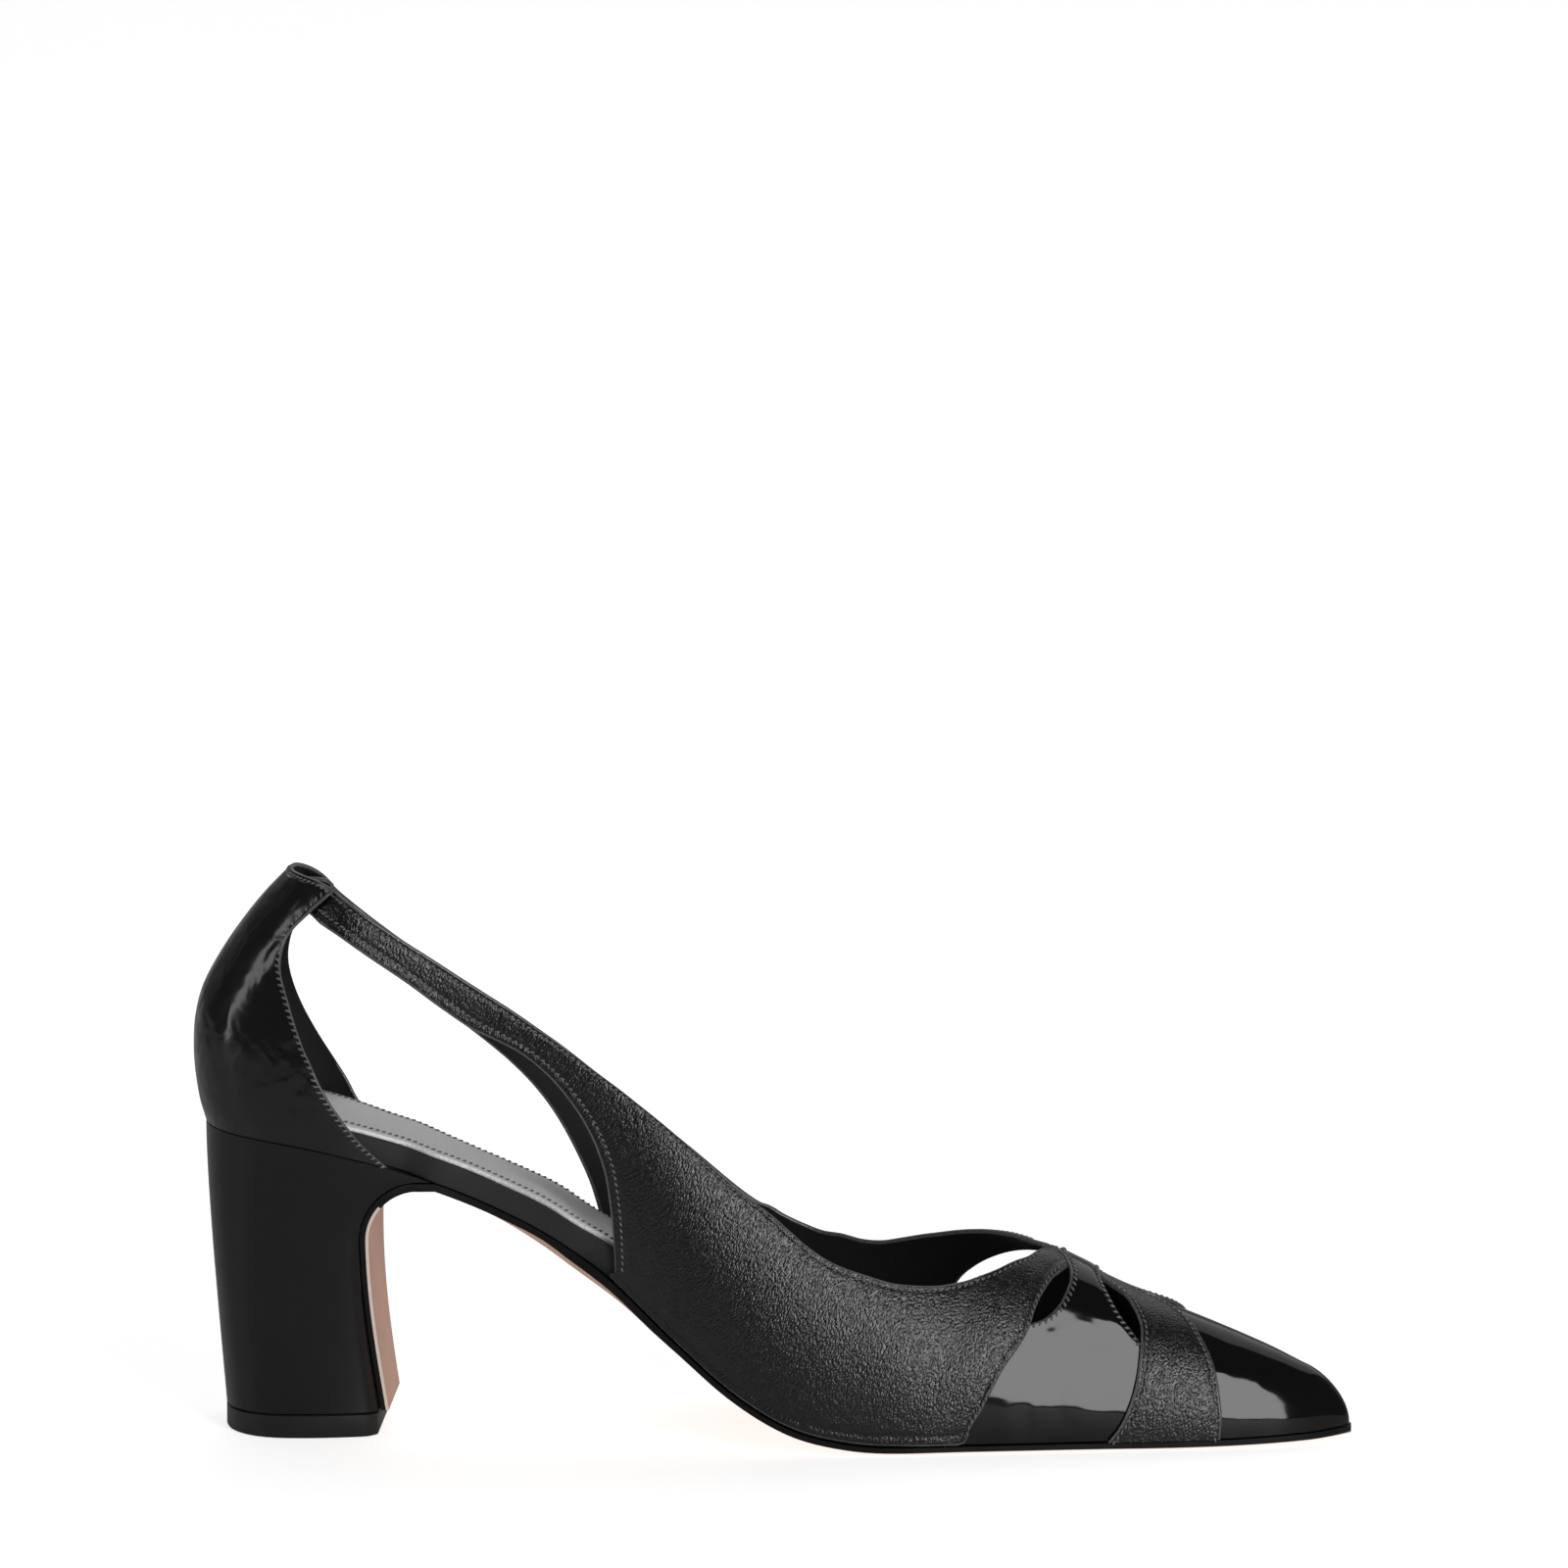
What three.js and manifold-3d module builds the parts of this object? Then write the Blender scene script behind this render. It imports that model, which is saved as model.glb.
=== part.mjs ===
// A left pump shoe on a covered block heel. A closed counter and two slim straps hold the
// heel, the waist is open on both sides, and the vamp is woven from two crossing straps
// under a patent keeper band, in front of a patent toe cap.
// Millimetres. +X points to the toe, +Z is up and -Y is the inner side of the foot.
// The origin lies on the floor under the middle of the heel's top piece.

import * as THREE from "three";
import { mergeVertices } from "three/addons/utils/BufferGeometryUtils.js";
import Module from "manifold-3d";

const wasm = await Module();
wasm.setup();

// Sizes of the last that the shoe is made on
const LAST_LENGTH = 242.6;
const BALL_WIDTH = 69;
const SEAT_HEIGHT = 66;
const INSTEP_RISE = 82;
const COLLAR_HEIGHT = 54;
const HEEL_ROUND = 26.6;
const TOE_ROUND = 9;
const TOE_SPRING = 1.5;
const LATERAL_SETBACK = 11;
const SEAM_FADE_LENGTH = 60.65;
const HEEL_FULLNESS = 0.85;
const TOE_FULLNESS = 0.9;

// Leather, board and rubber
const UPPER_WALL = 1.2;
const OVERLAY_WALL = 1.0;
const COVER_MARGIN = 7;
const SOLE_THICKNESS = 1.7;
const SOLE_MARGIN = 0.4;
const WAIST_CROWN = 3;
const CROWN_START = 34;
const CROWN_RISE = 26;
const CROWN_END = 60;
const CROWN_FADE = 28;
const PLATFORM_HEIGHT = 5.2;
const SOCK_THICKNESS = 1;
const SOCK_INSET = 1.2;
const GAP = 0.3;

// The block heel
const HEEL_SET = 20.6;
const TOP_PIECE_LENGTH = 33.4;
const TOP_PIECE_WIDTH = 37.8;
const TOP_PIECE_THICKNESS = 5;
const BREAST_HEIGHT = 42.5;
const BREAST_LEAN = 3.7;
const FLAP_OVERHANG = 2.2;
const TURN_LENGTH = 11.8;
const WING_LENGTH = 14.8;
const HEEL_BOW = 0.15;
const HEEL_WIDEST = 0.45;
const HEEL_ROUNDNESS = 2.3;
const HEEL_TAPER = 0.16;
const HEEL_CORNER = 0.09;
const CORNER_SHARE = 0.07;
const HEEL_FLARE = 1.4;

const MEDIAL = -1;
const LATERAL = 1;
const BACK_X = -HEEL_SET;
const TIP_X = BACK_X + LAST_LENGTH;
const HEEL_ROUND_X = BACK_X + HEEL_ROUND;
const TOE_ROUND_X = TIP_X - TOE_ROUND;

const named = (columns, rows) =>
  rows.map((row) => Object.fromEntries(columns.map((column, i) => [column, row[i]])));

// Cross sections of the last, from the back of the seat to the tip. "along" is a share of
// the last's length. Sole and girth half widths, and the ridge's lean to the outer side, are
// shares of the ball width. "drop" is a share of the seat height over the sole, "spring" of
// the toe spring, and "rise" is the ridge's height over the feather line as a share of the
// instep's.
const SECTIONS = named(
  ["along", "medialSole", "lateralSole", "medialGirth", "lateralGirth", "drop", "spring", "rise", "lean"],
  [
    [0.000, 0.355, 0.355, 0.399, 0.399, 1.000, 0.00, 0.902, 0.000],
    [0.110, 0.355, 0.355, 0.399, 0.399, 0.947, 0.00, 0.944, 0.000],
    [0.159, 0.319, 0.326, 0.391, 0.399, 0.895, 0.00, 0.972, 0.000],
    [0.209, 0.268, 0.275, 0.388, 0.403, 0.826, 0.00, 0.990, 0.000],
    [0.258, 0.249, 0.261, 0.388, 0.413, 0.746, 0.00, 0.991, 0.000],
    [0.316, 0.278, 0.312, 0.394, 0.435, 0.634, 0.00, 0.969, 0.007],
    [0.357, 0.316, 0.374, 0.406, 0.461, 0.526, 0.00, 0.931, 0.014],
    [0.415, 0.377, 0.457, 0.432, 0.507, 0.327, 0.00, 0.903, 0.022],
    [0.464, 0.420, 0.507, 0.452, 0.539, 0.171, 0.00, 0.855, 0.029],
    [0.514, 0.445, 0.536, 0.467, 0.559, 0.060, 0.00, 0.789, 0.029],
    [0.563, 0.452, 0.542, 0.472, 0.564, 0.012, 0.00, 0.691, 0.022],
    [0.613, 0.446, 0.519, 0.467, 0.542, 0.000, 0.00, 0.604, 0.014],
    [0.662, 0.417, 0.464, 0.438, 0.487, 0.000, 0.00, 0.534, 0.000],
    [0.711, 0.391, 0.391, 0.409, 0.412, 0.000, 0.00, 0.476, -0.014],
    [0.757, 0.365, 0.319, 0.381, 0.336, 0.000, 0.00, 0.415, -0.032],
    [0.802, 0.342, 0.252, 0.357, 0.267, 0.000, 0.00, 0.354, -0.049],
    [0.852, 0.322, 0.183, 0.332, 0.194, 0.000, 0.07, 0.303, -0.070],
    [0.901, 0.293, 0.107, 0.300, 0.116, 0.000, 0.20, 0.246, -0.090],
    [0.934, 0.270, 0.043, 0.274, 0.049, 0.000, 0.40, 0.202, -0.104],
    [0.963, 0.238, -0.017, 0.241, -0.014, 0.000, 0.60, 0.158, -0.119],
    [1.000, 0.188, -0.072, 0.188, -0.072, 0.000, 1.00, 0.110, -0.130],
  ],
);

// The back seam's curve: height over the seat and forward shift, as shares of the collar height
const BACK_SEAM = named(
  ["height", "forward"],
  [
    [0.000, 0.000],
    [0.074, -0.022],
    [0.148, -0.035],
    [0.287, -0.046],
    [0.407, -0.039],
    [0.519, -0.011],
    [0.648, 0.056],
    [0.759, 0.130],
    [0.889, 0.233],
    [1.019, 0.361],
    [1.148, 0.500],
  ],
);

// The topline. A girth share is 0 at the feather line and 1 at the ridge of the last.
const TOPLINE = named(
  ["along", "medial", "lateral"],
  [
    [0.000, 0.521, 0.521],
    [0.040, 0.504, 0.470],
    [0.059, 0.490, 0.443],
    [0.093, 0.461, 0.400],
    [0.150, 0.422, 0.348],
    [0.197, 0.399, 0.319],
    [0.237, 0.382, 0.299],
    [0.305, 0.361, 0.268],
    [0.373, 0.381, 0.271],
    [0.441, 0.417, 0.289],
    [0.500, 0.440, 0.318],
    [0.534, 0.431, 0.346],
    [0.570, 0.443, 0.388],
    [0.606, 0.464, 0.460],
    [0.640, 0.499, 0.566],
    [0.676, 0.597, 0.707],
    [0.711, 0.757, 0.862],
    [0.741, 1.000, 1.000],
  ],
);
const THROAT_ALONG = TOPLINE.at(-1).along;

// The counter's front edge, from the feather line up to the topline: a share of the wall's
// height there against the last's length
const COUNTER_EDGE = named(
  ["height", "medial", "lateral"],
  [
    [0.00, 0.166, 0.142],
    [0.05, 0.151, 0.131],
    [0.17, 0.128, 0.118],
    [0.36, 0.104, 0.093],
    [0.54, 0.081, 0.070],
    [0.67, 0.056, 0.054],
    [0.78, 0.047, 0.048],
    [0.88, 0.052, 0.052],
    [1.00, 0.059, 0.059],
  ],
);

// The lower edge of each heel strap, then the rear edge of each quarter down to the sole
const MEDIAL_WAIST_EDGE = named(
  ["along", "girth"],
  [
    [0.058, 0.430],
    [0.115, 0.383],
    [0.161, 0.345],
    [0.201, 0.316],
    [0.237, 0.293],
    [0.272, 0.295],
    [0.290, 0.293],
    [0.319, 0.270],
    [0.338, 0.241],
    [0.352, 0.195],
    [0.358, 0.139],
    [0.361, 0.079],
    [0.362, 0.000],
  ],
);
const LATERAL_WAIST_EDGE = named(
  ["along", "girth"],
  [
    [0.058, 0.380],
    [0.115, 0.316],
    [0.161, 0.277],
    [0.201, 0.239],
    [0.241, 0.211],
    [0.259, 0.196],
    [0.276, 0.177],
    [0.293, 0.151],
    [0.310, 0.113],
    [0.327, 0.060],
    [0.338, 0.009],
    [0.342, 0.000],
  ],
);

// Edges that cross the vamp, read on the medial side: girth share against the last's length
const QUARTER_FRONT = named(
  ["girth", "along"],
  [[0.00, 0.660], [0.12, 0.681], [0.26, 0.701], [0.42, 0.721], [0.54, 0.727], [0.63, 0.732],
    [0.71, 0.737], [0.81, 0.744], [0.93, 0.752], [1.00, 0.756]],
);
const BAND_REAR = named(
  ["girth", "along"],
  [[0.00, 0.660], [0.12, 0.681], [0.26, 0.701], [0.42, 0.721], [0.46, 0.724], [0.54, 0.740],
    [0.63, 0.748], [0.71, 0.752], [0.81, 0.754], [0.93, 0.752], [1.00, 0.741]],
);
const BAND_FRONT = named(
  ["girth", "along"],
  [[0.00, 0.790], [0.06, 0.798], [0.17, 0.808], [0.28, 0.813], [0.42, 0.816], [0.50, 0.816],
    [0.57, 0.810], [0.62, 0.803], [0.69, 0.796], [0.77, 0.790], [0.87, 0.783], [1.00, 0.775]],
);
const STRAP_REAR = named(
  ["girth", "along"],
  [[0.50, 0.817], [0.59, 0.817], [0.69, 0.815], [0.82, 0.812], [0.95, 0.806], [1.00, 0.786]],
);
const CAP_REAR = named(
  ["girth", "along"],
  [[0.00, 0.887], [0.13, 0.888], [0.25, 0.886], [0.40, 0.884], [0.54, 0.878], [0.68, 0.869],
    [0.84, 0.855], [0.94, 0.836], [1.00, 0.812]],
);

// The see-through gaps of the weave: between two edges, with their girth limits on each side.
// The front one opens on the inner side alone.
const LENS_HOLES = [
  { from: QUARTER_FRONT, to: BAND_REAR, medial: [0.47, 0.93], lateral: [0.47, 0.93] },
  { from: BAND_FRONT, to: STRAP_REAR, medial: [0.57, 0.97], lateral: null },
];

// The sides of the covered platform over the feather line, as shares of the platform's
// height. The arch is higher on its inner side.
const PLATFORM_RIM = named(
  ["along", "medial", "lateral"],
  [
    [0.000, 1.00, 1.00],
    [0.060, 1.00, 0.80],
    [0.110, 1.00, 0.60],
    [0.180, 0.97, 0.50],
    [0.230, 1.01, 0.48],
    [0.270, 1.02, 0.53],
    [0.303, 1.085, 0.48],
    [0.335, 1.125, 0.34],
    [0.360, 1.33, 0.36],
    [0.420, 1.27, 0.61],
    [0.500, 0.94, 0.74],
    [0.580, 0.40, 0.40],
    [0.700, 0.30, 0.30],
    [1.000, 0.30, 0.30],
  ],
);

const COLOURS = {
  nappa: { color: 0x17171a, roughness: 0.55, metalness: 0 },
  patent: { color: 0x08080a, roughness: 0.08, metalness: 0 },
  lining: { color: 0x8b8a89, roughness: 0.5, metalness: 0.25 },
  sole: { color: 0xc79a7c, roughness: 0.5, metalness: 0 },
  rubber: { color: 0x121212, roughness: 0.7, metalness: 0 },
};

// A smooth curve through two columns of a table, level at each crest and past its ends
function curve(table, from, to) {
  const xs = table.map((row) => row[from]);
  const ys = table.map((row) => row[to]);
  const last = xs.length - 1;
  const chord = xs.slice(1).map((x, i) => (ys[i + 1] - ys[i]) / (x - xs[i]));
  const slope = xs.map((x, i) => {
    if (i === 0) return chord[0];
    if (i === last) return chord[last - 1];
    if (chord[i - 1] * chord[i] <= 0) return 0;
    const before = x - xs[i - 1];
    const after = xs[i + 1] - x;
    return (chord[i - 1] * after + chord[i] * before) / (before + after);
  });
  return (value) => {
    const x = THREE.MathUtils.clamp(value, xs[0], xs[last]);
    let i = 0;
    while (i < last - 1 && x > xs[i + 1]) i += 1;
    const width = xs[i + 1] - xs[i];
    const t = (x - xs[i]) / width;
    const rest = 1 - t;
    return (1 + 2 * t) * rest * rest * ys[i] + t * rest * rest * width * slope[i]
      + t * t * (3 - 2 * t) * ys[i + 1] - t * t * rest * width * slope[i + 1];
  };
}

const sideNames = { [MEDIAL]: "medial", [LATERAL]: "lateral" };
const bothSides = (table, from) => ({
  [MEDIAL]: curve(table, from, "medial"),
  [LATERAL]: curve(table, from, "lateral"),
});
const section = Object.fromEntries(
  Object.keys(SECTIONS[0]).map((column) => [column, curve(SECTIONS, "along", column)]),
);
const seamShift = curve(BACK_SEAM, "height", "forward");
const topline = bothSides(TOPLINE, "along");
const counterEdge = bothSides(COUNTER_EDGE, "height");
const platformRim = bothSides(PLATFORM_RIM, "along");

const alongOf = (x) => (x - BACK_X) / LAST_LENGTH;
const smooth = (t) => THREE.MathUtils.smoothstep(t, 0, 1);

// Height of the feather line, where the upper meets the sole
function featherHeight(x) {
  const along = alongOf(x);
  const sole = SOLE_THICKNESS + GAP;
  return sole + section.drop(along) * (SEAT_HEIGHT - sole) + section.spring(along) * TOE_SPRING;
}

// A station runs from 0 at the back seam through 1 and 2, the ends of the heel's and the
// toe's rounds, to 3 at the tip
function stationPlace(station) {
  const heelAngle = Math.min(station, 1) * Math.PI / 2;
  const toeAngle = Math.max(station - 2, 0) * Math.PI / 2;
  if (station < 1) {
    return {
      x: HEEL_ROUND_X - HEEL_ROUND * Math.cos(heelAngle),
      widthShare: Math.sin(heelAngle) ** HEEL_FULLNESS,
      riseShare: 1,
    };
  }
  if (station <= 2) {
    return { x: HEEL_ROUND_X + (TOE_ROUND_X - HEEL_ROUND_X) * (station - 1), widthShare: 1, riseShare: 1 };
  }
  const narrowing = Math.max(Math.cos(toeAngle), 0);
  return { x: TOE_ROUND_X + TOE_ROUND * Math.sin(toeAngle), widthShare: narrowing ** TOE_FULLNESS, riseShare: narrowing };
}

function stationAt(along) {
  const x = BACK_X + along * LAST_LENGTH;
  if (x < HEEL_ROUND_X) return Math.acos((HEEL_ROUND_X - x) / HEEL_ROUND) / (Math.PI / 2);
  if (x <= TOE_ROUND_X) return 1 + (x - HEEL_ROUND_X) / (TOE_ROUND_X - HEEL_ROUND_X);
  return 2 + Math.asin(Math.min((x - TOE_ROUND_X) / TOE_ROUND, 1)) / (Math.PI / 2);
}

// A point on the outside of the shoe: girth 0 at the feather line, 1 on the ridge
function lastPoint(station, girth, side) {
  const { x, widthShare, riseShare } = stationPlace(station);
  const along = alongOf(x);
  const mid = section.lean(along) * BALL_WIDTH;
  const half = (column) => side * section[sideNames[side] + column](along) * BALL_WIDTH;
  const soleY = mid + (half("Sole") - mid) * widthShare;
  const girthY = mid + (half("Girth") - mid) * widthShare;
  const low = featherHeight(x);
  const angle = girth * Math.PI / 2;
  const rise = section.rise(along) * INSTEP_RISE * riseShare * Math.sin(angle);
  const heelFade = 1 - smooth((x - BACK_X) / SEAM_FADE_LENGTH);
  return new THREE.Vector3(
    x + seamShift(rise / COLLAR_HEIGHT) * COLLAR_HEIGHT * heelFade,
    mid + (girthY - mid) * Math.cos(angle) - (girthY - soleY) * (1 - girth) ** 3,
    low + rise,
  );
}

// The direction out of the shoe, from small steps across and along its surface. Both sides
// run together at the tip, so there it is straight ahead.
function outward(station, girth, side) {
  const step = 0.002;
  const tip = 2.985;
  if (station > tip) return new THREE.Vector3(1, 0, 0);
  const across = new THREE.Vector3(0, -side, 0);
  const forward = new THREE.Vector3(0, side, 0);
  if (girth < 1 - step) {
    across.subVectors(lastPoint(station, girth + step, side),
      lastPoint(station, Math.max(girth - step, 0), side));
  }
  if (station > step) {
    forward.subVectors(lastPoint(Math.min(station + step, 3), girth, side),
      lastPoint(Math.max(station - step, 0), girth, side));
  }
  const normal = new THREE.Vector3().crossVectors(forward, across).multiplyScalar(-side);
  return normal.normalize();
}

// The same surface, this deep under the outside
function skin(station, girth, side, depth) {
  return lastPoint(station, girth, side).addScaledVector(outward(station, girth, side), -depth);
}

function spread(from, to, steps) {
  return Array.from({ length: steps + 1 }, (_, i) => from + (to - from) * i / steps);
}

// Lists of corners become a closed solid, facing outward, once equal corners are merged
class Faces {
  corners = [];

  triangle(a, b, c) {
    this.corners.push(a, b, c);
  }

  quad(a, b, c, d) {
    this.triangle(a, b, c);
    this.triangle(a, c, d);
  }

  // A band of quads between two rows of the same length
  band(row, next) {
    for (let i = 0; i + 1 < row.length; i += 1) this.quad(row[i], row[i + 1], next[i + 1], next[i]);
  }

  solid() {
    const loose = new THREE.BufferGeometry().setFromPoints(this.corners);
    const merged = mergeVertices(loose, 1e-4);
    const index = merged.index.array;
    const kept = [];
    for (let i = 0; i < index.length; i += 3) {
      const [a, b, c] = index.slice(i, i + 3);
      if (a !== b && b !== c && c !== a) kept.push(a, b, c);
    }
    const build = (triVerts) => new wasm.Manifold(new wasm.Mesh({
      numProp: 3,
      vertProperties: merged.attributes.position.array,
      triVerts: Uint32Array.from(triVerts),
    }));
    const body = build(kept);
    return body.volume() > 0 ? body : build(kept.reverse());
  }
}

// A closed sheet between two skins, each a grid of points: the outer one faces outward
function sheet(outer, inner) {
  const faces = new Faces();
  const column = (grid, i) => grid.map((row) => row[i]);
  for (let i = 0; i + 1 < outer.length; i += 1) {
    faces.band(outer[i], outer[i + 1]);
    faces.band(inner[i + 1], inner[i]);
  }
  faces.band(inner[0], outer[0]);
  faces.band(outer.at(-1), inner.at(-1));
  faces.band(column(outer, 0), column(inner, 0));
  faces.band(column(inner, outer[0].length - 1), column(outer, outer[0].length - 1));
  return faces.solid();
}

// Rings of the same number of points, joined end to end, with zipped flat ends
function loft(rings) {
  const faces = new Faces();
  const closed = rings.map((ring) => [...ring, ring[0]]);
  for (let i = 0; i + 1 < closed.length; i += 1) faces.band(closed[i], closed[i + 1]);
  const zip = (ring, flip) => {
    for (let low = 0, high = ring.length - 1; high - low > 1; low += 1, high -= 1) {
      const corners = [ring[low], ring[low + 1], ring[high - 1], ring[high]];
      faces.quad(...(flip ? corners : corners.reverse()));
    }
  };
  zip(rings[0], false);
  zip(rings.at(-1), true);
  return faces.solid();
}

// Where the edges of the weave run on each side: the outer side sits back over the ball
function vampEdge(table) {
  const medial = curve(table, "girth", "along");
  return (girth, side) => {
    const setback = side === LATERAL ? LATERAL_SETBACK / LAST_LENGTH * (1 - smooth(girth)) : 0;
    return medial(girth) - setback;
  };
}

const capRear = vampEdge(CAP_REAR);

const TOE_STATIONS = [2, 2.25, 2.45, 2.65, 2.82, 3];
const WALL_ROWS = 9;

// The upper lies one overlay lower where the counter or the toe cap covers it, and comes up
// to the surface a little way past their edges
function coveredDepth(station, girth, side) {
  const along = alongOf(stationPlace(station).x);
  const margin = COVER_MARGIN / LAST_LENGTH;
  const height = Math.min(girth / topline[side](along), 1);
  const counter = 1 - smooth((along - counterEdge[side](height) - margin) / margin);
  const cap = smooth((along - capRear(girth, side) + 2 * margin) / margin);
  return (OVERLAY_WALL + GAP) * Math.max(counter, cap);
}

// The side wall of the upper as a solid shell, open along its top and its bottom
function upperShell() {
  const throat = stationAt(THROAT_ALONG);
  const stations = [
    ...spread(0, 1, 9),
    ...spread(1, throat, 25).slice(1),
    ...spread(throat, 2, 9).slice(1, -1),
    ...TOE_STATIONS,
  ];
  const grid = (side, added) => stations.map((station) => {
    const along = alongOf(stationPlace(station).x);
    const top = station < throat ? topline[side](along) : 1;
    return spread(0, top, WALL_ROWS).map((girth) =>
      skin(station, girth, side, coveredDepth(station, girth, side) + added));
  });
  const faces = new Faces();
  const split = stations.indexOf(throat);
  [MEDIAL, LATERAL].forEach((side) => {
    const outer = grid(side, 0);
    const inner = grid(side, UPPER_WALL);
    const turn = (a, b) => (side === MEDIAL ? faces.band(b, a) : faces.band(a, b));
    const rim = (grids, j) => grids.map((row) => row[j]);
    for (let i = 0; i + 1 < stations.length; i += 1) {
      turn(outer[i], outer[i + 1]);
      turn(inner[i + 1], inner[i]);
    }
    turn(rim(outer, 0), rim(inner, 0));
    const open = (grids) => rim(grids.slice(0, split + 1), WALL_ROWS);
    turn(open(inner), open(outer));
  });
  return faces.solid();
}

// A prism through one side of the upper, from a loop in side view
function sideCutter(points, side) {
  const flat = (point) => new THREE.Vector2(point.x, point.z);
  const loop = THREE.ShapeUtils.isClockWise(points.map(flat)) ? [...points].reverse() : points;
  const at = (y) => loop.map((point) => new THREE.Vector3(point.x, side * y, point.z));
  const near = at(2 * UPPER_WALL);
  const far = at(BALL_WIDTH);
  const faces = new Faces();
  const put = (a, b, c) => (side === LATERAL ? faces.triangle(a, b, c) : faces.triangle(a, c, b));
  THREE.ShapeUtils.triangulateShape(loop.map(flat), []).forEach(([a, b, c]) => {
    put(near[a], near[b], near[c]);
    put(far[a], far[c], far[b]);
  });
  loop.forEach((_, i) => {
    const next = (i + 1) % loop.length;
    put(near[i], far[i], far[next]);
    put(near[i], far[next], near[next]);
  });
  return faces.solid();
}

// The open waist: under the heel strap, between the counter and the quarter, down to the sole
function waistCutter(table, side) {
  const edge = curve(table, "along", "girth");
  const along = table.map((row) => row.along);
  const last = along.length - 1;
  const upperEdge = along.slice(0, last)
    .flatMap((value, i) => spread(value, along[i + 1], 2).slice(0, 2))
    .concat(along[last])
    .map((value) => lastPoint(stationAt(value), Math.max(edge(value), 0), side));
  const strapEnd = 0.9;
  const rearEdge = spread(0, strapEnd, 14).map((height) => {
    const value = counterEdge[side](height);
    return lastPoint(stationAt(value), height * topline[side](value), side);
  });
  const below = (point) => point.clone().setZ(point.z - PLATFORM_HEIGHT);
  return sideCutter([...upperEdge, below(upperEdge.at(-1)), below(rearEdge[0]), ...rearEdge], side);
}

// A lens-shaped plug through the upper, between two edges, that closes at both ends
function lensCutter(hole, side) {
  const closingPower = 4;
  const [low, high] = hole[sideNames[side]];
  const from = vampEdge(hole.from);
  const to = vampEdge(hole.to);
  const reach = 3 * UPPER_WALL;
  const middle = (low + high) / 2;
  const grid = (depth) => spread(low, high, 8).map((girth) => {
    const closing = 1 - Math.abs((girth - middle) / (high - middle)) ** closingPower;
    const rear = from(girth, side);
    const width = (to(girth, side) - rear) * closing;
    return spread(rear, rear + width, 2).map((along) => skin(stationAt(along), girth, side, depth));
  });
  const outer = grid(-reach);
  const inner = grid(reach);
  return side === MEDIAL ? sheet(inner, outer) : sheet(outer, inner);
}

function upper() {
  const cutters = [
    waistCutter(MEDIAL_WAIST_EDGE, MEDIAL),
    waistCutter(LATERAL_WAIST_EDGE, LATERAL),
    ...LENS_HOLES.flatMap((hole) => [MEDIAL, LATERAL]
      .filter((side) => hole[sideNames[side]])
      .map((side) => lensCutter(hole, side))),
  ];
  return cutters.reduce((shell, cutter) => shell.subtract(cutter), upperShell());
}

// The patent counter wraps the heel up to the topline. Only its lowest rows reach past the
// heel's round, so higher up their last stations fall together.
function counter() {
  const half = (height, side, depth) => {
    const edge = stationAt(counterEdge[side](height));
    const turned = Math.min(edge, 1);
    const stations = [...spread(0, turned, 11), ...spread(turned, edge, 3).slice(1)];
    return stations.map((station) => {
      const along = alongOf(stationPlace(station).x);
      return skin(station, height * topline[side](along), side, depth);
    });
  };
  const grid = (depth) => spread(0, 1, WALL_ROWS).map((height) =>
    [...half(height, MEDIAL, depth).reverse(), ...half(height, LATERAL, depth).slice(1)]);
  return sheet(grid(0), grid(OVERLAY_WALL));
}

// A patent piece that runs over the ridge, with its own stations at each height of the wall
function vampOverlay(stationsAt, depth) {
  const grid = (deep) => spread(-1, 1, 20).map((turn) => {
    const side = turn < 0 ? MEDIAL : LATERAL;
    const girth = 1 - Math.abs(turn);
    return stationsAt(girth, side).map((station) => skin(station, girth, side, deep));
  });
  return sheet(grid(depth), grid(depth + OVERLAY_WALL));
}

function keeperBand() {
  const rear = vampEdge(BAND_REAR);
  const front = vampEdge(BAND_FRONT);
  const stationsAt = (girth, side) => spread(stationAt(rear(girth, side)), stationAt(front(girth, side)), 6);
  return vampOverlay(stationsAt, -(OVERLAY_WALL + GAP));
}

function toeCap() {
  const stationsAt = (girth, side) =>
    [...spread(stationAt(capRear(girth, side)), 2, 6).slice(0, -1), ...TOE_STATIONS];
  return vampOverlay(stationsAt, 0);
}

// The furthest out that a piece of this height may reach inside the upper
function innerEdge(station, side, height) {
  const clear = (girth) =>
    skin(station, girth, side, coveredDepth(station, girth, side) + UPPER_WALL + GAP);
  const rise = section.rise(alongOf(stationPlace(station).x)) * INSTEP_RISE * stationPlace(station).riseShare;
  const low = clear(0);
  const high = clear(Math.asin(Math.min(height / rise, 1)) / (Math.PI / 2));
  return { x: low.x, y: side * Math.min(side * low.y, side * high.y) };
}

// Both waists let the platform out to the sole's edge between the counter and the quarter
function waistShare(x, side) {
  const along = alongOf(x);
  const table = side === MEDIAL ? MEDIAL_WAIST_EDGE : LATERAL_WAIST_EDGE;
  const margin = COVER_MARGIN / LAST_LENGTH;
  const behind = smooth((along - counterEdge[side](0) - margin / 2) / margin);
  const ahead = smooth((table.at(-1).along - along - margin / 2) / margin);
  return behind * ahead;
}

const INNER_STATIONS = [0.05, ...spread(0.15, 1, 7), ...spread(1, 2, 28).slice(1), 2.2, 2.35, 2.48];

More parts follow.
